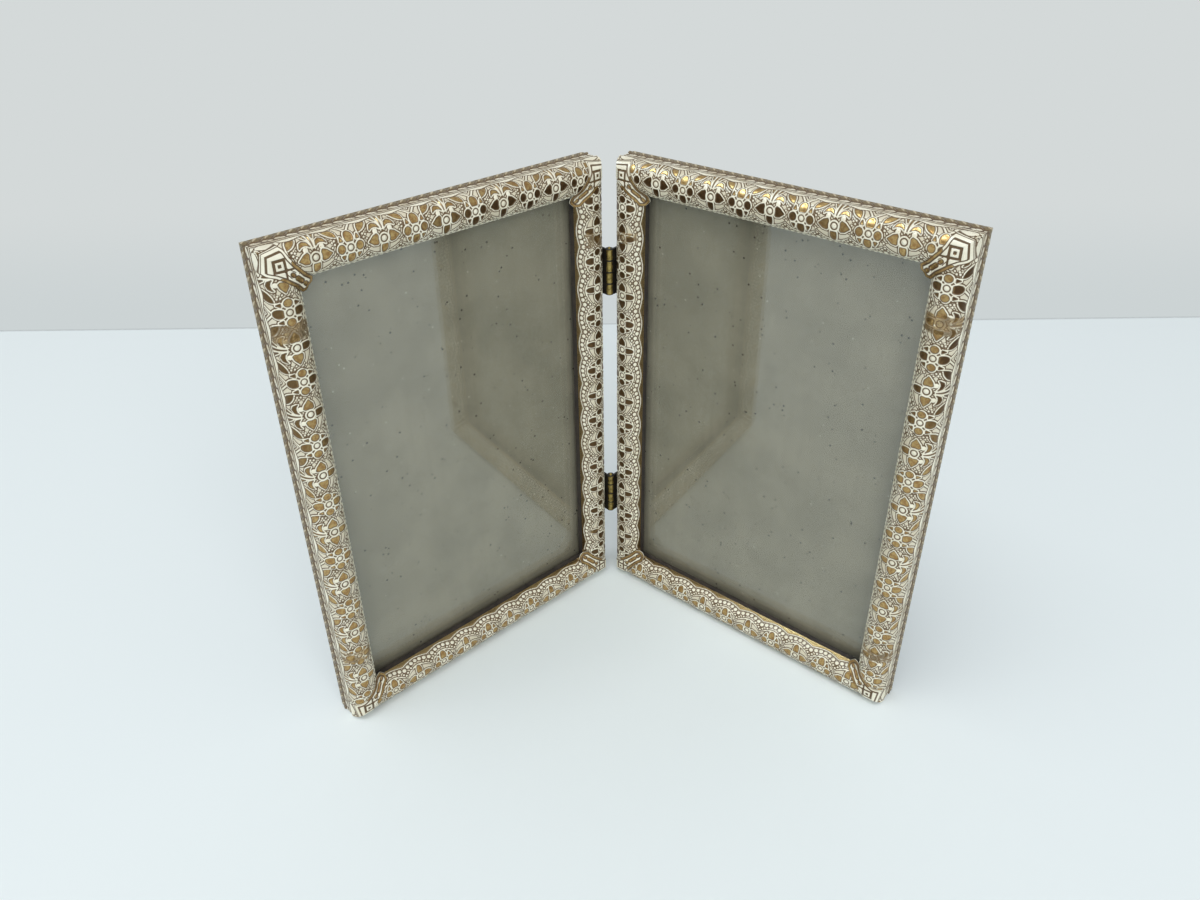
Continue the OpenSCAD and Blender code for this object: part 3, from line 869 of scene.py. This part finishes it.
def felt_finish():
    make = Finish("black_felt")
    fibres = make.noise(1800, 5, 0.75, 1.2)
    clouds = make.noise(120, 3)
    color = make.mix(make.step(fibres, 0.35, 0.65), screen(22, 20, 21), screen(44, 42, 42))
    color = make.mix(make.step(clouds, 0.5, 0.75, 0.0, 0.4), color, screen(52, 49, 48))
    return make.surface(color, 0.95, 0.0, make.bump(fibres, 0.6, 0.00012), Sheen_Weight=0.35)


def paint(material, *nodes):
    """Gives CAD nodes that stay their finish."""
    for name in nodes:
        for slot in frame["nodes"][name].material_slots:
            slot.material = material


# Settings

def distance_setting(name, description, default, **limits):
    return FloatProperty(name=name, description=description, default=default, subtype="DISTANCE",
                         unit="LENGTH", precision=5, **limits)


def color_setting(name, description, *color):
    return FloatVectorProperty(name=name, description=description, subtype="COLOR", size=3,
                               default=screen(*color))


def power_setting(name, description, default):
    return FloatProperty(name=name, description=description, default=default, subtype="POWER",
                         unit="POWER")


class FoilSettings(bpy.types.PropertyGroup):
    relief: distance_setting("Relief", "Height of the highest embossing", RELIEF_TOP * MM,
                             min=0.0, max=0.0004)
    spacing: distance_setting("Spacing", "Distance from one round flower to the next", 0.0206,
                              min=0.015, max=0.03)
    strands: IntProperty(
        name="Rope strands", description="Strands of the rope between two round flowers", default=6,
        min=3, max=12)
    fineness: distance_setting("Fineness", "Distance between the mesh points of the embossing", 0.00025,
                               min=0.0001, max=0.001)
    cream: color_setting("Cream wash", "Wash on the raised ornament", 238, 235, 216)
    cream_shadow: color_setting("Thin wash", "Wash where it is thin or soiled", 224, 219, 197)
    stain: color_setting("Stain", "Brown soil in the hollows of the relief", 164, 146, 112)
    # Partly dirt and partly painted shade on the rope round the back edge
    grime_and_shade: color_setting("Grime", "Dark wash on the rope round the back edge", 116, 100, 68)
    gold: color_setting("Gold", "Metal in the cells", 160, 124, 76)
    gold_light: color_setting("Bright gold", "Metal where it is rubbed bright", 196, 168, 112)
    # Dark metal: real tarnish in the rubbed bands, and painted shade and painted dark reflection in the
    # cells and on the lip
    patina_and_shade: color_setting("Patina", "Metal that has gone dark", 78, 56, 32)
    line: color_setting("Lines", "Brown lines round the ornament", 92, 70, 40)


class HardwareSettings(bpy.types.PropertyGroup):
    brass: color_setting("Brass", "Worn brass", 168, 148, 88)
    brass_dark: color_setting("Aged brass", "Brass that has gone brown", 96, 80, 46)
    # Nearly black colour of the painted shade and painted dark reflection on the hinges
    hinge_shade_black: color_setting("Leaf black", "Finish of the hinge leaves", 34, 30, 24)


class CardSettings(bpy.types.PropertyGroup):
    card: color_setting("Card", "Grey of the chipboard", 146, 139, 121)
    card_dark: color_setting("Card shadow", "Darker grey of its fibres", 131, 125, 108)
    card_light: color_setting("Card light", "Pale fibres", 172, 167, 150)
    card_fleck: color_setting("Card fleck", "Dark flecks", 62, 56, 50)


class StageSettings(bpy.types.PropertyGroup):
    floor: color_setting("Floor", "Pale floor", 232, 241, 243)
    backdrop: color_setting("Backdrop", "Pale sheet behind the floor", 212, 217, 217)
    # Painted shade: the backdrop's tone low down, darker than at its top
    backdrop_foot_shade: color_setting("Backdrop foot", "The sheet's tone low down", 204, 211, 212)
    seam: distance_setting("Seam", "How far behind the part the backdrop starts", 0.2740)
    sky: FloatProperty(
        name="Room light", description="Strength of the light from all round", default=0.44)
    key: power_setting("Main lamp", "Power of the large lamp above and to the left", 21.0)
    shine: power_setting("Back lamp", "Power of the lamp that the right frame's top rail mirrors", 32.0)
    front: power_setting("Front lamp", "Power of the lamp behind the viewer", 34.0)


class FrameSettings(bpy.types.PropertyGroup):
    foil: PointerProperty(type=FoilSettings)
    hardware: PointerProperty(type=HardwareSettings)
    card: PointerProperty(type=CardSettings)
    stage: PointerProperty(type=StageSettings)


# Operators

def shared_foil(context):
    return bpy.data.materials.get("embossed_foil") or foil_finish(context.scene.photo_frame.foil)


class PHOTOFRAME_OT_claddings(bpy.types.Operator):
    """Wraps the embossed ornament round the eight rails"""
    bl_idname = "photoframe.claddings"
    bl_label = "Embossed claddings"

    def execute(self, context):
        settings = context.scene.photo_frame.foil
        tree = wrap_tree()
        section = section_curve()
        foil = shared_foil(context)
        pitch = settings.spacing / MM
        for side in SIDES:
            for rail in RAILS:
                name = f"{side}_{rail}"
                length = OUTER_H if rail in EDGES else OUTER_W
                rosette = ROSETTE_AT[name]
                start = rosette - math.ceil(rosette / pitch) * pitch
                repeats = math.ceil((length - start) / pitch)
                made = new_object(f"{name}_embossed_cladding", strip_tile(settings))
                grow(made, tree, {"Section": section, "Repeats": repeats, "Spacing": pitch,
                                  "Start": start, "Finish": foil})
                mitre(made.data, length)
                self.dress(made.data, side, rail)
                hand_over(made, f"{side}_frame", "foil", f"{side}_{rail}_cladding")
        bpy.data.objects.remove(section)
        return {"FINISHED"}

    def dress(self, mesh, side, rail):
        """Takes a strip to its place on the frame and gives its wear, painted shade and painted shadow.
        """
        v, depth, along = read_points(mesh).T
        around = read_value(mesh, "around")
        length = OUTER_H if rail in EDGES else OUTER_W
        path = np.array(outer_path())
        path_u = lengths(path)
        base_v = np.interp(around, path_u, path[:, 0])
        base_depth = np.interp(around, path_u, path[:, 1])
        seen = (around < path_u[-1] - 1e-4) & (around > 1e-4)
        end = np.minimum(along, length - along)
        clear = plate_clearance(base_v, end)
        keep = np.where(seen, soft(clear, 0.1, 0.6), 1.0)
        v = base_v * (1 - keep) + v * keep
        depth = base_depth * (1 - keep) + depth * keep
        v = np.maximum(v, FOOT)
        along = np.clip(along, FOOT, length - FOOT)
        mesh.vertices.foreach_set(
            "co", rail_place(side, rail, v, depth, along).astype(np.float32).ravel())
        end = np.minimum(along, length - along)
        lobe = np.where(end < LOBE_REACH, oval(end - LOBE_END, around - LOBE_U, *LOBE_HALF), 10.0)
        on_lobe = lobe < 0.2
        ink_and_shadow = np.where(on_lobe, np.abs(lobe - 0.02) - 0.16, read_value(mesh, "ink_and_shadow"))
        # A brown line painted on the cladding round each corner plate: painted shadow of the plate's edge
        add_value(mesh, "ink_and_shadow", np.minimum(ink_and_shadow, clear - 0.15))
        add_value(mesh, "cell", np.where(lobe < 0.5, 1.0, read_value(mesh, "cell")))
        add_value(mesh, "thin", np.where(on_lobe, 0.0, read_value(mesh, "thin")))
        add_value(mesh, "relief", np.where(on_lobe, 0.2, read_value(mesh, "relief") * keep))
        # Painted shade and painted dark reflection in the cells, set by rail, round the section and along
        # it
        window, crest, outside, full_at, gone_at = PAINTED_CELL_SHADE[f"{side}_{rail}"]
        dark = window + (crest - window) * soft(around, *PAINTED_CELL_SHADE_CREST)
        dark = dark + (outside - crest) * soft(around, *PAINTED_CELL_SHADE_OUTSIDE)
        dark = PAINTED_CELL_SHADE_LEAST + (dark - PAINTED_CELL_SHADE_LEAST) * (1 - soft(along, full_at, gone_at))
        add_value(mesh, "dark", dark)
        rub = np.zeros(len(along))
        for middle, half, strength in RUBBED.get(f"{side}_{rail}", ()):
            rub = np.maximum(rub, strength * (1 - soft(np.abs(along - middle), half * 0.6, half * 1.3)))
        add_value(mesh, "rub", rub * soft(around, *RUB_START) * (1 - soft(around, *RUB_STOP)))
        turn_outwards(mesh)
        shade(mesh, 60)


def plate_outline():
    side = PLATE_STATIONS[1:]
    return [(PLATE_START, 0), *side, *[(a, -half) for a, half in reversed(side)]]


def plate_clearance(v, end):
    """Distance of a point of a rail to the plate's edge. v counts from the outer edge, end from the
    corner."""
    clear = np.full(len(v), 10.0)
    near = end < PLATE_END * 1.2
    a, b = (v[near] + end[near]) / math.sqrt(2), np.abs(v[near] - end[near]) / math.sqrt(2)
    clear[near] = polygon(a, b, plate_outline())
    return clear


def plate_curve(out):
    """Depth of a plate's surface over v, following the face and then dropping over the window."""
    dome = [point for point in dome_points(72, out) if point[0] <= FACE_W - TONGUE_FREE]
    last = dome[-1]
    return dome + [(last[0] + 10, last[1] + 10 * math.tan(TONGUE_SLOPE))]


def plate_fields(a, b):
    """Relief part (0 base, 1 top) and the foil distances of a corner plate, at a distance a along
    the mitre and b aside."""
    inside = -polygon(a, b, plate_outline())
    p = (a + b) / math.sqrt(2) - PLATE_START / math.sqrt(2)
    q = (a - b) / math.sqrt(2) - PLATE_START / math.sqrt(2)

    def square(low, high):
        middle, half = (low + high) / 2, (high - low) / 2
        return np.maximum(np.abs(p - middle), np.abs(q - middle)) - half

    band = np.maximum(square(1.8, 5.4), -square(2.5, 4.7))
    dot = square(3.1, 4.0)
    near, far, reach = 2.0, 5.05, 7.4
    crossing = union(line(p, q, [(far, near), (far, reach)], 0.26),
                     line(p, q, [(near, far), (reach, far)], 0.26))
    crossing = np.maximum(crossing, 0.8 - inside)
    holes = union(line(a, b, [(13.0, 0), (15.3, 0)], 0.55), line(a, b, [(16.7, 0), (17.2, 0)], 0.5),
                  line(a, b, [(11.0, 0), (11.6, 0)], 0.42))
    strokes = np.abs(np.abs(b) - 0.5 - 0.16 * (a - 8.6)) - 0.1
    strokes = strokes + 5 * soft(a, 11.5, 12.0) + 5 * soft(a, 8.4, 8.0)
    # The band along the plate's very edge is painted shadow; the other lines are its stamped print
    lines = union(band, crossing, dot, np.abs(inside - 0.86) - 0.18, inside - 0.08,
                  np.abs(holes - 0.1) - 0.14, strokes)
    tongue = soft(a, 8.5, 9.5)
    cells = union(holes, np.maximum(inside - 0.68 * tongue, 0.5 - tongue))
    sunk = union(band, crossing, dot, holes)
    relief = 0.5 + soft(inside, 0.75, 1.1) * (0.02 + 0.48 * soft(sunk, -0.12, 0.12))
    return relief, cells, lines


class PHOTOFRAME_OT_corner_plates(bpy.types.Operator):
    """Makes the eight stamped corner plates"""
    bl_idname = "photoframe.corner_plates"
    bl_label = "Corner plates"

    def execute(self, context):
        foil = shared_foil(context)
        sheet = self.sheet()
        for side in SIDES:
            for end in ENDS:
                for edge in EDGES:
                    self.make(side, end, edge, foil, *sheet)
        return {"FINISHED"}

    def sheet(self):
        rows, columns = PLATE_GRID
        a = PLATE_START + (PLATE_END - PLATE_START) * np.linspace(0, 1, rows)
        half = np.interp(a, *zip(*PLATE_STATIONS))
        grid_a = np.repeat(a[:, None], columns, axis=1)
        grid_b = half[:, None] * np.linspace(-1, 1, columns)[None, :]
        return (grid_a, grid_b, *plate_fields(grid_a, grid_b))

    def make(self, side, end, edge, foil, a, b, relief, cells, lines):
        x, z = (a + b) / math.sqrt(2), (a - b) / math.sqrt(2)
        v = np.minimum(x, z)
        rounding = 1.2
        blend = np.maximum(rounding - np.abs(x - z), 0) * soft(v, CREST_V, CREST_V + 2.0)
        v = v - blend ** 2 / (4 * rounding)
        under = np.interp(v, *zip(*plate_curve(0.0)))
        over = np.interp(v, *zip(*plate_curve(PLATE_T * PLATE_TRIM)))
        across = x if edge == "inner" else OUTER_W - x
        height = z if end == "bottom" else OUTER_H - z
        top = place(side, across, under + (over - under) * relief, height).reshape(-1, 3)
        base = place(side, across, under, height).reshape(-1, 3)
        rows, columns = a.shape
        count = rows * columns
        quads = grid_faces(rows, columns)
        grid = np.arange(count).reshape(rows, columns)
        rim = np.concatenate([grid[:, 0], grid[-1, 1:], grid[-2::-1, -1], grid[0, -2:0:-1]])
        following = np.roll(rim, -1)
        walls = np.stack([rim, following, following + count, rim + count], axis=1)
        faces = np.concatenate([quads, quads[:, ::-1] + count, walls])

        def both(value):
            return np.concatenate([value.ravel(), np.full(count, 1.0)])

        values = {
            "cell": both(cells), "ink_and_shadow": both(lines), "bare": np.full(2 * count, 1.0),
            "relief": both(relief * 0.3), "dark": np.full(2 * count, 0.25),
            "rub": np.zeros(2 * count), "thin": np.zeros(2 * count),
        }
        mesh = new_mesh("stamped_plate", np.concatenate([top, base]), faces, values)
        made = new_object(f"{side}_{end}_{edge}_stamped_plate", mesh)
        mesh.materials.append(foil)
        with editing(mesh) as work:
            bmesh.ops.remove_doubles(work, verts=work.verts[:], dist=SAME_SPOT)
            bmesh.ops.recalc_face_normals(work, faces=work.faces[:])
        turn_outwards(mesh)
        shade(mesh, 50)
        hand_over(made, f"{side}_frame", "foil", f"{side}_{end}_{edge}_corner_plate")


class PHOTOFRAME_OT_woodwork(bpy.types.Operator):
    """Finishes the cores, the back boards and their felt"""
    bl_idname = "photoframe.woodwork"
    bl_label = "Wood, board and felt"

    def execute(self, context):
        # The cores are coloured nearly black, which gives the dark band at the window between the lip and
        # the glass
        wood = wood_finish("nearly_black_wood", screen(38, 33, 30), screen(58, 50, 44), 0.5)
        paint(wood, *[f"{side}_{rail}_core" for side in SIDES for rail in RAILS])
        paint(fibreboard_finish(), *[f"{side}_back_board" for side in SIDES])
        paint(felt_finish(), *[f"{side}_back_felt" for side in SIDES])
        return {"FINISHED"}


class PHOTOFRAME_OT_glazing(bpy.types.Operator):
    """Makes the glass panes and finishes the grey cards behind them"""
    bl_idname = "photoframe.glazing"
    bl_label = "Glass and cards"

    def execute(self, context):
        glass = glass_finish()
        for side in SIDES:
            self.pane(side, glass)
        paint(card_finish(context.scene.photo_frame.card), *[f"{side}_grey_card" for side in SIDES])
        return {"FINISHED"}

    def pane(self, side, glass):
        """A pane with its edges ground, a hair thinner than its room so that it clears the card."""
        edge = FACE_W - LIP_COVER
        mesh = bpy.data.meshes.new("pane")
        with editing(mesh) as work:
            bmesh.ops.create_cube(work, size=1.0)
            for vertex in work.verts:
                sign = vertex.co * 2
                across = OUTER_W / 2 + sign.x * (OUTER_W / 2 - edge)
                depth = GLASS_D + GLASS_T / 2 + sign.y * GLASS_T / 2 - (GLASS_CLEAR if sign.y > 0 else 0)
                height = OUTER_H / 2 + sign.z * (OUTER_H / 2 - edge)
                vertex.co = place(side, across, depth, height)
            bmesh.ops.bevel(work, geom=work.edges[:], offset=GROUND_EDGE * MM, segments=1, affect="EDGES")
            bmesh.ops.recalc_face_normals(work, faces=work.faces[:])
        mesh.materials.append(glass)
        made = new_object(f"{side}_glass_pane", mesh)
        hand_over(made, f"{side}_frame", "glass", f"{side}_glass")


class PHOTOFRAME_OT_hardware(bpy.types.Operator):
    """Finishes the hinges, turn buttons, screws and nails"""
    bl_idname = "photoframe.hardware"
    bl_label = "Hinges, buttons, screws and nails"

    def execute(self, context):
        settings = context.scene.photo_frame.hardware
        finish = leaf_finish(settings)
        for side in SIDES:
            for level, height in (("upper", OUTER_H - HINGE_END), ("lower", HINGE_END)):
                self.leaf(side, level, height, finish)
        paint(brass_finish("worn_brass", settings, 0.5), "upper_hinge_pin", "lower_hinge_pin",
              *[f"{side}_{kind}" for side in SIDES for kind in ("hinge_screws", "button_screws")])
        paint(brass_finish("button_brass", settings, 0.2),
              *[f"{side}_{rail}_button" for side in SIDES for rail in RAILS])
        paint(steel_finish(), *[f"{side}_corner_nails" for side in SIDES])
        return {"FINISHED"}

    def leaf(self, side, level, height, finish):
        """A leaf whose notches run close round the other leaf's knuckles."""
        name = f"{side}_{level}_hinge_leaf"
        mesh = bpy.data.meshes.new("hinge_leaf")
        with editing(mesh, frame["nodes"][name].data) as work:
            bmesh.ops.remove_doubles(work, verts=work.verts[:], dist=SAME_SPOT)
        made = new_object(f"{side}_{level}_notched_leaf", mesh)
        edges = new_object("notch_edges", self.notch_edges(side, height))
        joined = made.modifiers.new("Notches", "BOOLEAN")
        joined.operation = "UNION"
        joined.object = edges
        bake(made, joined)
        bpy.data.objects.remove(edges)
        made.data.materials.clear()
        made.data.materials.append(finish)
        shade(made.data, 35)
        hand_over(made, f"{side}_frame", "brass", name)

    def notch_edges(self, side, height):
        """Blocks beside one leaf's knuckles, hollowed to run close round the barrel."""
        radius = BARREL_R + LEAF_CLEAR
        near, far, back = BARREL_R - LEAF_T, BARREL_R, BARREL_R + LEAF_GAP + NOTCH_ROOM
        outline = [(out, math.sqrt(radius ** 2 - out ** 2)) for out in np.linspace(near, far, 7)]
        outline += [(far, back), (near, back)]
        knuckle = (HINGE_LEN - (KNUCKLES - 1) * KNUCKLE_GAP) / KNUCKLES
        mesh = bpy.data.meshes.new("notch_edges")
        with editing(mesh) as fill:
            for number in range(1 if side == "left" else 0, KNUCKLES, 2):
                low = number * (knuckle + KNUCKLE_GAP) - HINGE_LEN / 2
                high = low + knuckle
                rings = [
                    [fill.verts.new(place(side, out - FRAME_GAP / 2, HINGE_IN + in_d, height + level_z))
                     for out, in_d in outline]
                    for level_z in (low - NOTCH_CLOSE * (number > 0),
                                    high + NOTCH_CLOSE * (number < KNUCKLES - 1))]
                fill.faces.new(rings[0])
                fill.faces.new(rings[1][::-1])
                for first, second in zip(range(len(outline)), [*range(1, len(outline)), 0]):
                    fill.faces.new((rings[0][first], rings[1][first], rings[1][second], rings[0][second]))
            bmesh.ops.recalc_face_normals(fill, faces=fill.faces[:])
        return mesh


def direct_ray(tree):
    """1 where the camera sees a thing itself, in a mirror or through glass, else 0."""
    ray = add_node(tree, "ShaderNodeLightPath")
    seen = add_node(tree, "ShaderNodeMath", {0: ray["Is Camera Ray"], 1: ray["Is Glossy Ray"]},
                    operation="MAXIMUM")[0]
    return add_node(tree, "ShaderNodeMath", {0: seen, 1: ray["Is Transmission Ray"]},
                    operation="MAXIMUM")[0]


class PHOTOFRAME_OT_stage(bpy.types.Operator):
    """Sets up the camera, the pale floor and the soft light"""
    bl_idname = "photoframe.stage"
    bl_label = "Camera, floor and light"

    def execute(self, context):
        settings = context.scene.photo_frame.stage
        self.camera(context)
        self.floor(settings)
        self.light(context, settings)
        context.scene.view_settings.view_transform = "Standard"
        return {"FINISHED"}

    def camera(self, context):
        pitch, yaw, roll = [math.radians(turn) for turn in (CAMERA_PITCH, CAMERA_YAW, CAMERA_ROLL)]
        turn = Matrix.Rotation(-yaw, 4, "Z") @ Matrix.Rotation(math.pi / 2 - pitch, 4, "X")
        data = bpy.data.cameras.new("camera")
        data.sensor_width = SENSOR_W
        data.lens = CAMERA_LENS
        data.clip_start, data.clip_end = 0.01, 20
        made = bpy.data.objects.new("camera", data)
        context.scene.collection.objects.link(made)
        turn = turn @ Matrix.Rotation(roll, 4, "Z")
        made.matrix_world = Matrix.Translation(Vector(CAMERA_AT) * MM) @ turn
        context.scene.camera = made

    def floor(self, settings):
        corners = [(x * FLOOR_REACH, y * FLOOR_REACH, 0) for x, y in ((-1, -1), (1, -1), (1, 1), (-1, 1))]
        mesh = new_mesh("pale_floor", corners, [[0, 1, 2, 3]])
        made = new_object("pale_floor", mesh)
        make = Finish("pale_paper")
        parts = make.node("SeparateXYZ", {"Vector": make.coords})
        lean = make.math("MULTIPLY_ADD", parts["X"], SEAM_SLOPE, parts["Y"])
        behind = make.minus(lean, settings.seam)
        past = make.step(behind, -0.0003, 0.0003)
        seam = make.times(make.step(make.math("ABSOLUTE", behind), 0.0016, 0.0004), 0.35)
        seam_tone = screen(150, 155, 158)
        color = make.mix(seam, make.mix(past, settings.floor, settings.backdrop), seam_tone)
        make.surface(color, 0.9, 0.0, make.bump(make.noise(900, 2), 0.05, 0.0001))
        paper = make.out.links[0].from_socket
        # Seen directly, the floor behind the seam glows in the backdrop's colour, darker near its foot as
        # painted shade
        upright = make.mix(make.step(behind, 0.0, 0.25), settings.backdrop_foot_shade, settings.backdrop)
        upright = make.mix(seam, upright, seam_tone)
        glow = make.node("Emission", {"Color": upright})[0]
        make.show(make.shaders(make.times(direct_ray(make.tree), past), paper, glow))
        mesh.materials.append(make.material)

    def light(self, context, settings):
        world = bpy.data.worlds.new("soft_room")
        world.use_nodes = True
        context.scene.world = world
        tree = world.node_tree
        tree.nodes.clear()
        light = add_node(tree, "ShaderNodeBackground", {
            "Color": (0.97, 0.985, 1.0, 1), "Strength": settings.sky})[0]
        seen = add_node(tree, "ShaderNodeBackground", {
            "Color": (*settings.backdrop, 1), "Strength": 1.0})[0]
        both = add_node(tree, "ShaderNodeMixShader", {0: direct_ray(tree), 1: light, 2: seen})[0]
        add_node(tree, "ShaderNodeOutputWorld", {"Surface": both})
        self.lamp(context, "main_lamp", settings.key, (1.6, 1.4), (-0.6, -0.55, 2.3))
        self.lamp(context, "front_lamp", settings.front, (2.6, 1.6), (0.3, -2.2, 1.6))
        mirrored = self.lamp(context, "back_lamp", settings.shine, (0.9, 0.7), (-1.25, 0.25, 2.0))
        mirrored.visible_diffuse = False
        mirrored.data.color = (0.75, 0.95, 1.0)

    def lamp(self, context, name, power, size, spot):
        data = bpy.data.lights.new(name, "AREA")
        data.shape = "RECTANGLE"
        data.size, data.size_y = size
        data.energy = power
        made = bpy.data.objects.new(name, data)
        context.scene.collection.objects.link(made)
        made.location = spot
        made.rotation_mode = "QUATERNION"
        made.rotation_quaternion = (Vector(LAMP_AIM) - made.location).to_track_quat("-Z", "Y")
        return made


class PHOTOFRAME_PT_panel(bpy.types.Panel):
    """Lists the steps and their settings"""
    bl_idname = "PHOTOFRAME_PT_panel"
    bl_label = "Hinged double photo frame"
    bl_space_type = "VIEW_3D"
    bl_region_type = "UI"
    bl_category = "Photo Frame"

    def draw(self, context):
        settings = context.scene.photo_frame
        for step in STEPS:
            self.layout.operator(step.bl_idname)
        for title, group in (("Foil", settings.foil), ("Hardware", settings.hardware),
                             ("Card", settings.card), ("Stage", settings.stage)):
            box = self.layout.box()
            box.label(text=title)
            for key in group.bl_rna.properties.keys():
                if key not in {"rna_type", "name"}:
                    box.prop(group, key)


STEPS = (
    PHOTOFRAME_OT_stage, PHOTOFRAME_OT_claddings, PHOTOFRAME_OT_corner_plates,
    PHOTOFRAME_OT_woodwork, PHOTOFRAME_OT_glazing, PHOTOFRAME_OT_hardware,
)
CLASSES = (FoilSettings, HardwareSettings, CardSettings, StageSettings, FrameSettings,
           *STEPS, PHOTOFRAME_PT_panel)


def register():
    for item in CLASSES:
        bpy.utils.register_class(item)
    bpy.types.Scene.photo_frame = PointerProperty(type=FrameSettings)


def unregister():
    del bpy.types.Scene.photo_frame
    for item in reversed(CLASSES):
        bpy.utils.unregister_class(item)


def main():
    register()
    bpy.ops.photoframe.stage()
    bpy.ops.photoframe.claddings()
    bpy.ops.photoframe.corner_plates()
    bpy.ops.photoframe.woodwork()
    bpy.ops.photoframe.glazing()
    bpy.ops.photoframe.hardware()


if __name__ == "__main__":
    main()
